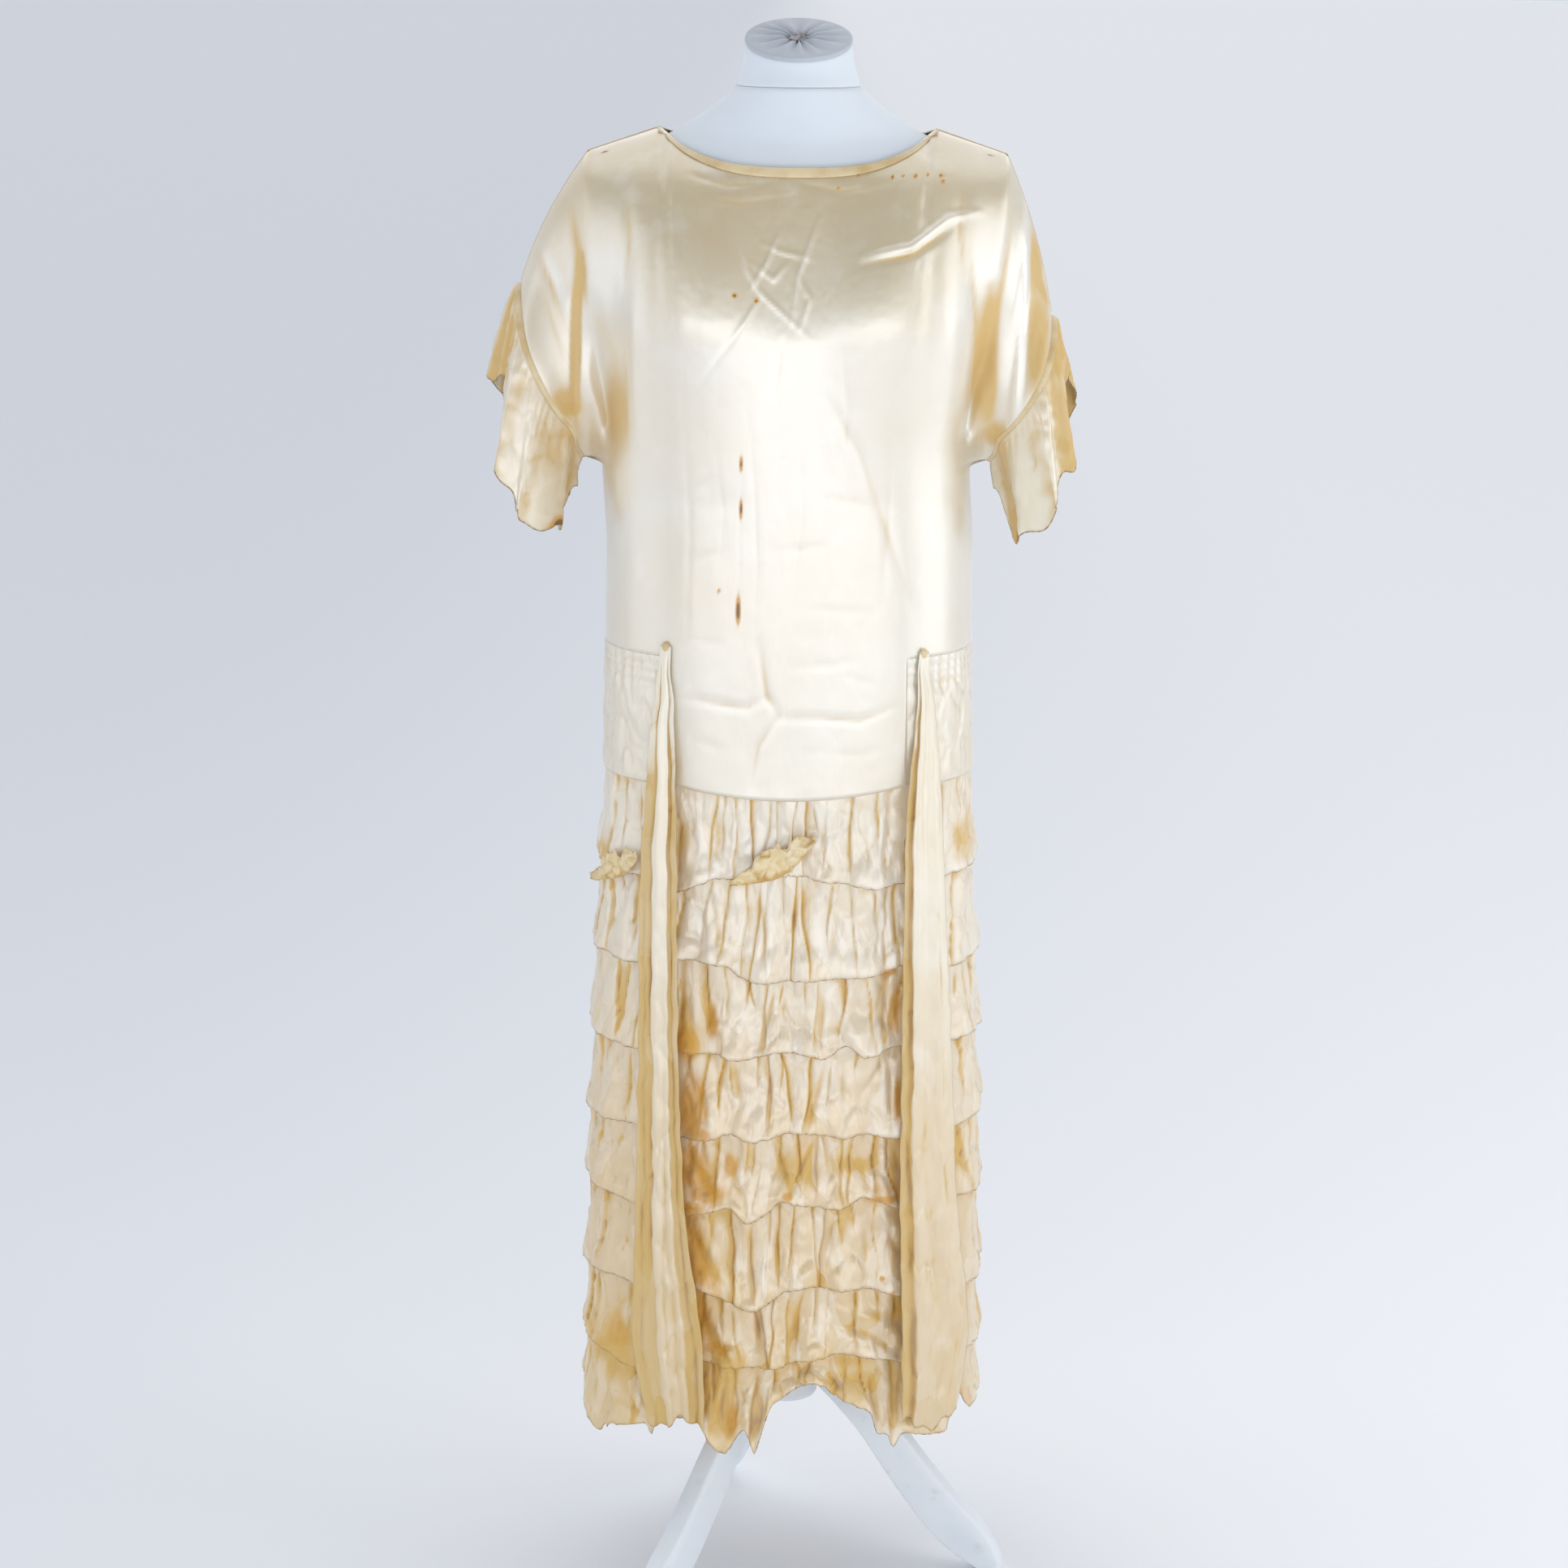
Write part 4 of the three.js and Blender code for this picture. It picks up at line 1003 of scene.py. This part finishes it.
def yoke_relief(side):
    def relief(u, v, point):
        x, y, z = point
        share = outward(side, u)
        ease = smooth(share / 0.06) * smooth((1 - share) / 0.05) * smooth(v / 0.03) * smooth((1 - v) / 0.03)
        drawn = sum(bell(z - line, 2.2) for line in YOKE_LINES)
        gathers = cos(share * 74 + 2 * sin(share * 9 + side)) * smooth((z - 868) / 30)
        crush = crumple((x * 1.1, y * 1.1, z * 0.6 + x * 0.3), 20, 3 + side)
        rise = ease * (0.8 * gathers + 1.8 * crush * (1 - 0.5 * smooth((z - 880) / 20)) + 1 - 0.9 * drawn)
        # The second value paints shade in deep gold along the gathering threads, in the gathers and in the hollows
        # of the crush.
        return rise, 0.16 * drawn + max(0, -crush) * 0.3 + 0.15 * max(0, -gathers), 0
    return relief


yoke_bands = [(0.5, (0.8, 0.73, 0.58)), (0.6, (0.8, 0.75, 0.63))]
yoke_satin = finish("yoke_satin", satin(yoke_bands, gloss=0.65, crinkle=0.2))
for side, name in ((-1, "hip_yoke_left"), (1, "hip_yoke_right")):
    shape, where = sheet(54, 50, yoke_place(side), size=(0.14, 0.12))
    worked(shape, where, yoke_relief(side))
    cloth(
        name, shape, yoke_satin, "tier_satin", [name], GATHERED_WALL,
    )

# ---- Cuffs and flounces ----
# Each sleeve's mouth is bound with a narrow piping, and a flounce cut in a curve falls from it.
# The flounces are gathered at the outside of the arm, and their edges are oversewn with brown silk.
SLEEVES = {  # arm, phase of the waves, painted shade in gold at the outside gathers and its reach, flat size and area, bands of tone, drops
    "left": (-1, 0.4, 0.8, 0.12, (0.4, 0.098), 0.0333, [(0.72, (0.76, 0.66, 0.48)), (0.85, (0.74, 0.6, 0.38))], [
        # drop and reach out round the mouth, from the gathers past the front and the underarm
        (0, 82, 20), (0.05, 66, 19), (0.12, 108, 24), (0.25, 112, 30), (0.36, 98, 22), (0.44, 80, 14),
        (0.5, 26, 5), (0.6, 72, 16), (0.75, 98, 27), (0.9, 92, 22), (1, 82, 20),
    ]),
    "right": (1, 2.1, 1.5, 0.19, (0.36, 0.092), 0.0285, [
        (0.72, (0.8, 0.72, 0.54)), (0.78, (0.72, 0.56, 0.32)), (0.84, (0.62, 0.42, 0.16)),
    ], [
        (0, 46, 19), (0.05, 84, 16), (0.12, 96, 21), (0.22, 94, 26), (0.34, 98, 21), (0.44, 82, 14),
        (0.5, 24, 5), (0.6, 66, 16), (0.75, 92, 25), (0.9, 84, 21), (1, 46, 19),
    ]),
}
FLOUNCE_WAVES, FLOUNCE_WAVE, CUFF_WIDTH, FLOUNCE_GAP = 6, 8, 3, 0.4


def mouth_point(arm, around):
    point = upper_point("front" if around <= 0.5 else "back", arm, HALF_COLUMNS, 1 - abs(1 - 2 * around))
    point.x *= arm
    return point


def brown_edge(wires):
    twist = wires.mottle(wires.place(), 420, 3)
    return {"Base Color": twist.step(0.35, 0.65).blend((0.24, 0.16, 0.09), (0.54, 0.4, 0.24)), "Roughness": 0.7}


edge_silk = finish("edge_silk", brown_edge)
for name, (arm, phase, gold, gold_reach, flat, area, bands, drops) in SLEEVES.items():
    chord = mouth_point(arm, 0) - mouth_point(arm, 0.5)
    facing = Vector((arm * chord.z, 0, -arm * chord.x)).normalized()
    centre = (mouth_point(arm, 0.25) + mouth_point(arm, 0.75)) / 2

    def cuff_place(u, v):
        """Round the band's section, which is rounded on both faces."""
        point = mouth_point(arm, outward(-arm, u))
        across = Vector((0, copysign(1, point.y or 1), 0))
        away = across.lerp(Vector((arm, 0, 0.3)).normalized(), bell(point.y, 9))
        turn = 2 * pi * v
        swell = 1 + 0.12 * sin(2 * pi * 60 * u)
        return point + facing * (2.4 + 3.2 * cos(turn)) + away * 1.1 * swell * sin(turn)

    tube, where = sheet(180, 10, cuff_place, closed=True, size=(0.34, 0.015))
    cuff = piece("cuff_" + name, lidded(tube), binding_satin, "binding_satin", "cuff_" + name)

    def flounce_place(u, v):
        around = outward(-arm, u)
        point = mouth_point(arm, around)
        away = Vector((0, point.y - centre.y, 0)) / MOUTH + facing
        away.z = 0
        away.normalize()
        turn = 2 * pi * around
        wave = cos(FLOUNCE_WAVES * turn + phase) + 0.15 * cos(11 * turn + 2 * phase)
        swing = FLOUNCE_WAVE * wave * smooth(abs(around - 0.5) / 0.12)
        spread = between(drops, 2, around) + swing
        ragged = 3 * sin(9 * turn + phase) + 2 * sin(17 * turn)
        drop = between(drops, 1, around) + ragged * smooth(abs(around - 0.5) / 0.1)
        point = point + facing * (CUFF_WIDTH + FLOUNCE_GAP) + away * (spread * v ** 0.8)
        point.z -= drop * v
        return point

    def flounce_relief(u, v, point):
        around = outward(-arm, u)
        turn = 2 * pi * around
        outside = min(around, 1 - around)
        gather = cos(34 * turn + 3 * sin(3 * turn)) * (1 - smooth(v / 0.5))
        bunch = bell(outside, 0.08) * 1.8 * cos(30 * turn)
        fold = cos(7 * turn + phase + 1.8 * v + noise.noise(point / 30)) * smooth(v / 0.3)
        rise = smooth(v / 0.06) * (0.3 * gather + bunch + 1.2 * fold + 1.1 * crumple(point, 24, 12 + arm))
        # deep paints the flounce deep gold at the gathers outside the arm as painted shade, and also in a narrow
        # strip just before the underarm; the hollows are painted as shade and the ridges as highlight too.
        deep = gold * bell(outside, gold_reach) + 0.8 * bell(around - 0.43, 0.05)
        return rise, min(1.05, max(-1, -rise / 3.2) + deep), 1.5 * bell(around - 0.4, 0.025) * bell(1 - v, 0.1)

    shape, where = sheet(200, 34, flounce_place, closed=True, size=(0.34, 0.1))
    worked(shape, where, flounce_relief)
    hem_thread = thread("flounce_edge_" + name, row_of(where, 1), 0.55, edge_silk, "satin", True, knots=120)
    flounce_satin = finish("flounce_satin_" + name, satin(bands, gloss=0.6, crinkle=0.14))
    cloth(
        "flounce_" + name, shape, flounce_satin, "satin", ["flounce_" + name], GATHERED_WALL,
        [cuff, hem_thread],
    )

# ---- Tiers ----
# Eight bands of satin are gathered onto the skirt's foundation, one above the other, each with its edge
# oversewn in brown silk. They are crushed flat and rust-stained, most of all at the left of the front.
TIERS = [  # mean height of the edge, swing, number of swings, phase, and the edge across the front
    (712, 5, 3, 0.2, [(-100, 696), (-69, 711), (-47, 711), (-11, 717), (41, 709), (74, 703), (100, 705)]),
    (620, 6, 2, 2.6, [(-102, 634), (-59, 631), (-45, 619), (-27, 616), (35, 619), (85, 622), (101, 629)]),
    (547, 3, 4, 1.1, [
        (-106, 547), (-65, 546), (-43, 542), (-26, 546), (-14, 551), (17, 548), (33, 545), (53, 555), (69, 545),
        (92, 552),
    ]),
    (469, 3, 5, 3.9, [
        (-102, 464), (-71, 466), (-51, 471), (-37, 465), (-20, 468), (3, 474), (23, 473), (51, 468), (63, 472),
        (94, 466),
    ]),
    (398, 4, 3, 5.2, [
        (-101, 390), (-74, 395), (-53, 400), (-38, 387), (-17, 398), (-5, 408), (18, 403), (47, 401), (72, 410),
        (105, 395),
    ]),
    (311, 6, 4, 4.4, [
        (-93, 326), (-68, 315), (-50, 306), (-33, 302), (-20, 307), (-3, 319), (18, 325), (51, 321), (73, 322),
        (107, 311),
    ]),
    (238, 5, 5, 0.9, [(-93, 252), (-74, 248), (-40, 245), (-3, 247), (12, 252), (50, 258), (80, 254), (108, 245)]),
    (168, 0, 0, 2.2, [
        (-171, 206), (-169, 177), (-158, 172), (-132, 178), (-125, 170), (-118, 194), (-93, 190), (-83, 191),
        (-78, 183), (-66, 166), (-57, 160), (-47, 173), (-38, 183), (-32, 172), (-28, 162), (-21, 188), (-14, 208),
        (-2, 216), (13, 229), (24, 232), (35, 227), (47, 216), (66, 207), (77, 202), (85, 178), (97, 174),
        (101, 161), (110, 175), (139, 167), (151, 165), (156, 190), (162, 208),
    ]),
]
HEM = [  # round the skirt in degrees from the middle of the front: height of the ragged hem
    (-180, 176), (-150, 160), (-125, 182), (-90, 186), (-64, 151), (-47, 161), (-35, 170), (-23, 154), (-17, 166),
    (-10, 156), (0, 200), (8, 223), (30, 206), (40, 155), (60, 146), (75, 180), (92, 186), (120, 168), (150, 184),
    (180, 176),
]
TIER_WAVES, TIER_WAVE = 20, 4.6
TIER_TUCK, TIER_INSET, TIER_FULL, TUCK_GAP = 11, 5, 1.2, 2.55  # a tier's head hides behind the tier above
EDGE_HALF, HEM_HALF, EDGE_FADE = 102, 158, 20  # how far the tables of the edges reach from the middle, and fade
STAINS_HALF, PALE_TIERS, PALE_SHARE = 125, 2, 0.6
EDGE_THREAD = 0.42
TIER_CREASES = [
    [
        (3, 4, (-47, 713), (-18, 732), (18, 752)), (2, 4, (30, 770), (26, 740), (40, 716)),
        (2, 4, (-70, 780), (-66, 745), (-72, 715)), (2, 3, (66, 775), (70, 730), (64, 708)),
    ],
    [
        (3, 4, (-30, 700), (-22, 660), (-26, 632)), (2.6, 3.5, (8, 704), (2, 668), (-6, 640)),
        (2.6, 4, (36, 700), (42, 664), (34, 636)), (2.4, 4, (-74, 700), (-66, 660), (-70, 640)),
        (2.4, 3, (76, 694), (82, 660), (78, 634)), (-2, 5, (-50, 696), (-44, 665), (-50, 640)),
    ],
    [
        (3.4, 3.5, (-14, 608), (-20, 578), (-29, 544)), (1.6, 3, (-5, 608), (-5, 575)),
        (2.4, 3.5, (31, 600), (28, 562)), (2.6, 4, (-70, 600), (-72, 560)), (2.4, 4, (92, 607), (93, 551)),
        (-2.4, 8, (44, 592), (60, 568)),
    ],
    [
        (2.6, 3, (-79, 510), (-74, 471)), (3.4, 3.5, (-15, 530), (-20, 471)), (3, 4, (33, 539), (18, 477)),
        (1.8, 3, (48, 544), (49, 471)), (2.4, 3, (93, 535), (94, 468)),
        (2.4, 4, (-50, 540), (-44, 500), (-52, 475)),
    ],
    [
        (3.2, 4, (-13, 466), (3, 414)), (3.2, 4, (26, 466), (0, 412)), (-2.6, 5, (-20, 409), (-3, 411)),
        (3, 5, (-96, 452), (-76, 424), (-58, 402)), (2.6, 4, (-44, 462), (-50, 430), (-40, 405)),
        (2.4, 4, (62, 455), (70, 425), (84, 408)),
    ],
    [
        (2.4, 4, (-33, 389), (-32, 314)), (-2.4, 4, (-22, 386), (-22, 318)), (2.6, 4, (-9, 380), (-9, 340)),
        (2.8, 4, (43, 397), (36, 360)), (-2, 4, (50, 392), (42, 358)), (3, 5, (-90, 384), (-78, 350), (-60, 326)),
        (2.2, 4, (74, 386), (72, 336)),
    ],
    [
        (-4.5, 8, (49, 300), (80, 291), (107, 266)), (3.4, 5, (44, 286), (78, 276), (104, 254)),
        (3, 5, (-82, 300), (-70, 270), (-54, 252)), (2.4, 4, (-30, 296), (-24, 260)), (2.4, 4, (10, 300), (6, 262)),
    ],
    [
        (3, 5, (-56, 236), (-60, 200), (-52, 170)), (3, 5, (-30, 232), (-24, 200), (-34, 176)),
        (2.6, 4, (-78, 236), (-84, 205)), (3, 5, (36, 246), (48, 226), (40, 212)),
        (3, 5, (78, 240), (84, 206), (90, 180)), (2.4, 4, (-6, 230), (-2, 208)),
    ],
]
STAINS = [  # rust on the front of the tiers: place across and up, reach across and up
    (-70, 575, 6, 16), (-94, 556, 12, 22), (90, 622, 10, 5), (97, 584, 6, 26), (-88, 494, 16, 34),
    (-80, 470, 14, 8), (-88, 434, 20, 26), (-74, 412, 22, 11), (-88, 398, 14, 8), (88, 407, 18, 5), (0, 413, 5, 4),
    (-92, 352, 18, 42), (-80, 336, 10, 14), (-86, 286, 18, 40), (-66, 262, 14, 7), (-86, 215, 12, 30),
    (88, 330, 3, 3), (98, 316, 3, 3), (-50, 190, 6, 18), (100, 500, 4, 24), (-54, 440, 6, 12),
]
TIER_FOLD_SHADE_SPOTS = [  # painted shade: deep gold in folds on the front of the tiers
    (-172, 712, 16, 14), (158, 735, 12, 24), (-98, 740, 8, 20), (6, 440, 22, 16), (22, 432, 14, 14),
    (60, 440, 30, 8), (-88, 560, 16, 40), (-60, 245, 30, 14), (50, 250, 36, 10), (88, 292, 20, 6),
    (-70, 210, 30, 40), (60, 225, 30, 16), (-84, 340, 20, 40), (-160, 240, 30, 50),
]


def tier_edge(number, angle):
    """The height of a tier's edge, which is drawn from the table across the front and waves behind."""
    if number < 0:
        return waist_edge(angle)
    edge, dip, swings, phase, across = TIERS[number]
    last = number == len(TIERS) - 1
    height = between(HEM, 1, degrees(angle)) if last else edge + dip * cos(swings * angle + phase)
    if abs(angle) < 1.5:
        x = on_dress(edge, angle).x
        half = HEM_HALF if last else EDGE_HALF
        height = lerp(between(across, 1, x), height, smooth((abs(x) - half) / EDGE_FADE))
    return height + 1.5 * drift(angle * 22, number, 0) + 0.9 * drift(angle * 60, number, 0)


def ruffle(number, angle):
    phase = TIERS[number][3]
    uneven = 0.8 + 0.2 * sin(2 * angle + phase)
    return TIER_WAVE * uneven * cos(TIER_WAVES * angle + phase + 0.7 * sin(3 * angle + phase))


def tier_out(number, angle, v):
    """How far outside the skirt's plan a tier lies: in at the gathers, hollow in the middle, out at its edge."""
    flat = 1 - 0.7 * bell(abs(angle) - 1.5, 0.6)
    wave = ruffle(number, angle) * flat
    middle, edge = 0.3 * wave - TIER_INSET * flat, wave + TIER_FULL
    if v > 0.5:
        return lerp(middle, edge, smooth((v - 0.5) * 2) * 0.6 + (v - 0.5) * 0.8)
    if number == 0:
        return lerp(-TUCK_GAP, middle, 2 * v)
    above = tier_edge(number - 1, angle)
    share = 2 * TIER_TUCK / (tier_edge(number - 2, angle) - above)
    before = ruffle(number - 1, angle)
    behind = lerp(before + TIER_FULL, 0.3 * before - TIER_INSET, share) - TUCK_GAP
    return lerp(behind, middle, 2 * v)


def round_skirt(u):
    """The angle at a share of the way round, with the points closer together in front."""
    return pi * (2 * u - 1) - 0.6 * sin(pi * (2 * u - 1))


def gathers_for(number):
    """Uneven folds pressed one over the next round a tier: angle, width of the hollow side, depth, where each
    starts and ends, its slant and the way it faces."""
    chance = random.Random(40 + number)
    rows, angle = [], -pi
    while angle < pi - 0.05:
        limits = (2.5, 8), (1.2, 3.8), (-0.4, 0.15), (0.5, 1.5), (-0.09, 0.09)
        rows.append((angle, *(chance.uniform(*limit) for limit in limits), chance.choice((-1, 1))))
        angle += chance.uniform(0.05, 0.19)
    return rows


def tier_relief(number):
    gathers = gathers_for(number)

    def relief(u, v, point):
        x, y, z = point
        angle = round_skirt(u)
        sunk = line = 0
        for at, width, depth, start, end, slant, faces in gathers:
            off = faces * ((angle - at - slant * (v - 0.5)) * 150 + 4 * drift(at * 9, v * 3, number))
            if abs(off) < 4 * width:
                length = smooth((v - start) / 0.25) * smooth((end - v) / 0.4)
                steep = 1.3 * exp(-off / 0.8) - 0.3 * exp(-off / 5) if off >= 0 else exp(off / width)
                sunk += depth * length * steep
                line = max(line, depth / 3 * length * exp(-abs(off) / 0.9))
        puckers = 0.7 * cos(angle * 150 / 2.6 + 3 * sin(5 * angle)) * smooth((0.34 - v) / 0.22)
        crush = crumple((x, y, z * 0.75), 27, number)
        fine = crumple((x, y, z * 0.9), 10, number + 20)
        shade_spots = 0
        cloud = noise.noise(point / 46 + Vector((number, 0, 0)))
        stained = 0.5 * smooth((cloud - 0.34) / 0.3) * smooth((640 - z) / 300)
        if y < 0:
            sunk += creased(x, z, TIER_CREASES[number])
            shade_spots = spots(x, z, TIER_FOLD_SHADE_SPOTS)
            if abs(x) < STAINS_HALF:
                stained = max(stained, spots(x, z, STAINS))
        lift = 1.6 * smooth((v - 0.6) / 0.4)
        ease = smooth((v - 0.06) / 0.12)
        rise = ease * (lift + 2.4 * crush + 0.4 * fine + puckers - sunk * lerp(1, 0.6, smooth((v - 0.7) / 0.3)))
        # hollow paints the tier deep gold as shade: in the gathers and creases, with a dark line at the edge of
        # each gather, in the crush's hollows and under the tier above; the crush's raised plates are painted paler
        # as highlight. The top PALE_TIERS tiers get PALE_SHARE of the gathers' shade, and the deep gold spots in
        # the listed folds are painted shade too.
        hollow = (max(0, sunk - 0.5) / 2.4 + 1.2 * line) * (PALE_SHARE if number < PALE_TIERS else 1)
        hollow += 0.3 * max(0, -crush) + 0.35 * smooth((0.26 - v) / 0.2) - 0.3 * max(0, crush)
        return rise, hollow + 0.8 * shade_spots, stained

    return relief


def tier_spread(u):
    return round_skirt(u) / 2 / pi + 0.5


tier_satin = finish("tier_satin", satin([
    (0.1, (0.72, 0.52, 0.24)), (0.27, (0.74, 0.55, 0.3)), (0.36, (0.78, 0.64, 0.44)), (0.5, (0.84, 0.76, 0.62)),
], (0.68, 0.42, 0.09), gloss=0.45, crinkle=0.3, lines=0.3, haze=0.36))
for number in range(len(TIERS)):
    def tier_place(u, v):
        angle = round_skirt(u)
        height = lerp(tier_edge(number - 1, angle) + TIER_TUCK, tier_edge(number, angle), v)
        return on_dress(height, angle, tier_out(number, angle, v))

    name = f"tier_{number + 1}"
    shape, where = sheet(380, 30, tier_place, closed=True, size=(1.25, 0.11), spread=tier_spread)
    worked(shape, where, tier_relief(number))
    path = row_of(where, 1)
    edge = thread(f"tier_edge_{number + 1}", path, EDGE_THREAD, edge_silk, "tier_satin", True, knots=330)
    flat = (1.2, 0.085 if number == len(TIERS) - 1 else 0.1)
    cloth(
        name, shape, tier_satin, "tier_satin", [name], GATHERED_WALL,
        with_pieces=[edge],
    )

# Two turned-up corners of the first tier show the duller gold of the satin's back.
FLAPS = {  # steps along each corner: place across, height of its foot and of its head
    "front": [
        (-54, 708, 711), (-40, 709, 724), (-26, 711, 738), (-10, 716, 746), (2, 724, 750), (12, 736, 754),
        (22, 749, 753),
    ],
    "left": [
        (-186, 690, 692), (-178, 692, 706), (-170, 697, 718), (-160, 702, 726), (-150, 708, 730), (-140, 722, 731),
    ],
}
back_bands = [(0.3, (0.74, 0.57, 0.27)), (0.6, (0.76, 0.6, 0.3))]
back_satin = finish("back_satin", satin(back_bands, (0.55, 0.32, 0.07), gloss=0.15, crinkle=0.1))
for name, rows in FLAPS.items():
    def flap_place(u, v):
        x = lerp(rows[0][0], rows[-1][0], u)
        jagged = 9 * drift(u * 7, 3, 1) + 5 * drift(u * 19, 3, 1)
        z = lerp(between(rows, 2, x), between(rows, 1, x), v) + jagged * sin(pi * u) ** 0.6 * (1 - v)
        stand = 9.5 + 1.5 * sin(pi * v) * sin(pi * u) + 1.2 * sin(13 * u - 5 * v)
        return Vector((x, -plan_reach(DRESS, z, 2, x - shift_at(z), stand), z))

    def flap_relief(u, v, point):
        crush = crumple(point, 11, 31)
        # The second value paints shade: deep gold in the crush's hollows and towards the corner's foot, where it
        # turns back against the tier.
        return 1.6 * crush, 0.9 * max(0, -crush) + 0.6 * smooth((v - 0.7) / 0.3), 0

    shape, where = sheet(70, 26, flap_place, size=(0.07, 0.03))
    worked(shape, where, flap_relief)
    corner = piece("tier_corner_" + name, shape, back_satin, "tier_satin")
    corner.modifiers.new("thickness", "SOLIDIFY").thickness = GATHERED_WALL / 1000

# ---- Streamers ----
# Two long narrow panels of satin hang from small gathered knots at the hips, beside the front's middle panel.
# They fall in a few upright folds, free of the tiers behind them.
STREAMERS = {  # side, folds, their phase, the edges of the flat panel as shares of the width, rows and creases
    "left": (-1, 1.5, 0.6, (0.22, 0.72), [  # height: inner and outer edge, stand off the skirt, depth of the folds
        (192, 76, 130, 16, 4), (270, 78, 144, 15, 4), (390, 94, 141, 14.5, 3.6), (545, 101, 138, 14.5, 3.4),
        (697, 103, 137, 14.5, 3.4), (772, 104, 133, 12, 3), (847, 106, 127, 6, 2), (922, 110, 118, 2.4, 0),
    ], [  # share of the width at the top and at the bottom, depth, half width, start
        (0.22, 0.12, 2.6, 0.04, 0), (0.74, 0.66, 3.2, 0.035, 0), (0.9, 0.86, 1.8, 0.04, 0.3),
        (0.45, 0.36, 1.8, 0.05, 0.55), (0.3, 0.52, 1.6, 0.04, 0.7),
    ]),
    "right": (1, 2, 2.4, (0.16, 1.2), [
        (188, 109, 160, 16, 4), (265, 108, 171, 15, 4), (388, 104, 158, 14.5, 3.6), (545, 103, 149, 14.5, 3.4),
        (698, 103, 140, 14.5, 3.4), (773, 104, 136, 12, 3), (848, 111, 130, 6, 2), (917, 113, 121, 2.4, 0),
    ], [
        (0.16, 0.16, 2.8, 0.04, 0), (0.86, 0.8, 1.4, 0.04, 0.25), (0.52, 0.44, 1.2, 0.05, 0.5),
        (0.3, 0.62, 1.2, 0.04, 0.6),
    ]),
}
STREAMER_BANDS = [
    (0.1, (0.68, 0.5, 0.25)), (0.26, (0.72, 0.55, 0.31)), (0.45, (0.8, 0.71, 0.54)), (0.6, (0.84, 0.77, 0.62)),
]
for name, (side, folds, phase, panel, rows, lines) in STREAMERS.items():
    def on_panel(share):
        return smooth((share - panel[0]) / 0.07) * smooth((panel[1] - share) / 0.07)

    def streamer_place(u, v):
        share = outward(side, u)
        ragged = 6 * sin(7 * share + side) + 3 * sin(19 * share)
        height = lerp(rows[-1][0], rows[0][0] + ragged, v)
        x = side * lerp(between(rows, 1, height), between(rows, 2, height), share)
        x += 1.6 * drift(height / 26, side, share)
        turn = 2 * pi * folds * (share + 0.07 * drift(height / 110, side * 5, 0)) + phase
        stand = between(rows, 3, height) + between(rows, 4, height) * (0.4 * cos(turn) + 0.7 * on_panel(share))
        return Vector((x, -plan_reach(DRESS, height, 2, x - shift_at(height), stand), height))

    def streamer_relief(u, v, point):
        share = outward(side, u)
        x, y, z = point
        sunk = 0
        for k, (top, bottom, depth, width, start) in enumerate(lines):
            line = lerp(top, bottom, v) + 0.05 * drift(z / 70, k * 3, side)
            uneven = max(0, 0.8 + 0.7 * drift(z / 50, k * 5, side * 2)) * smooth((v - start + 0.05) / 0.15)
            near = abs(share - line) / width
            sunk += depth * uneven * (1 - 0.15 * near) * exp(-near * lerp(1, near, 0.4))
        crush = crumple((x, y, z * 0.4), 17, 20 + side)
        drawn = cos(share * 16) * (1 - smooth(v / 0.1))
        rise = smooth((v - 0.004) / 0.03) * (lerp(0.4, 1.5, smooth((v - 0.3) / 0.4)) * crush - sunk + 0.5 * drawn)
        # Painted shade: the strips beside the flat panel are deep gold, the panel is a little paler as painted
        # highlight, and the creases and the crush's hollows are deep gold too.
        edge = 0.75 * (1 - on_panel(share)) * smooth((v - 0.06) / 0.15) - 0.2 * on_panel(share)
        cloud = noise.noise(point / 60 + Vector((side * 9, 0, 0)))
        stained = 0.5 * smooth((cloud - 0.25) / 0.35) * smooth((560 - z) / 260)
        return rise, sunk / 2.4 + edge + 0.5 * max(0, -crush), stained

    shape, where = sheet(44, 240, streamer_place, size=(0.07, 0.74))
    worked(shape, where, streamer_relief)
    path = row_of(where, 1)
    edge = thread("streamer_edge_" + name, path, EDGE_THREAD, edge_silk, "tier_satin", False, knots=40)

    knot = bmesh.new()
    bmesh.ops.create_uvsphere(knot, u_segments=36, v_segments=22, radius=0.0042)
    for vert in knot.verts:
        x, y, z = vert.co
        pleat = 1 + 0.1 * cos(9 * atan2(z, x) + 200 * x) + 0.25 * noise.noise(vert.co * 150)
        vert.co = Vector((x * pleat * 0.8, y * 0.5, z * pleat * 1.1))
    top = streamer_place(0.5, 0)
    bmesh.ops.translate(knot, vec=placed(top.x, top.y - 0.6, top.z - 1), verts=knot.verts)
    knot = piece("streamer_knot_" + name, knot, binding_satin, "tier_satin")
    surface = satin(STREAMER_BANDS, (0.64, 0.42, 0.12), gloss=0.45, crinkle=0.12, haze=0.36)
    cloth(
        "streamer_" + name, shape, finish("streamer_satin_" + name, surface), "tier_satin", ["streamer_" + name],
        GATHERED_WALL, [edge, knot],
    )
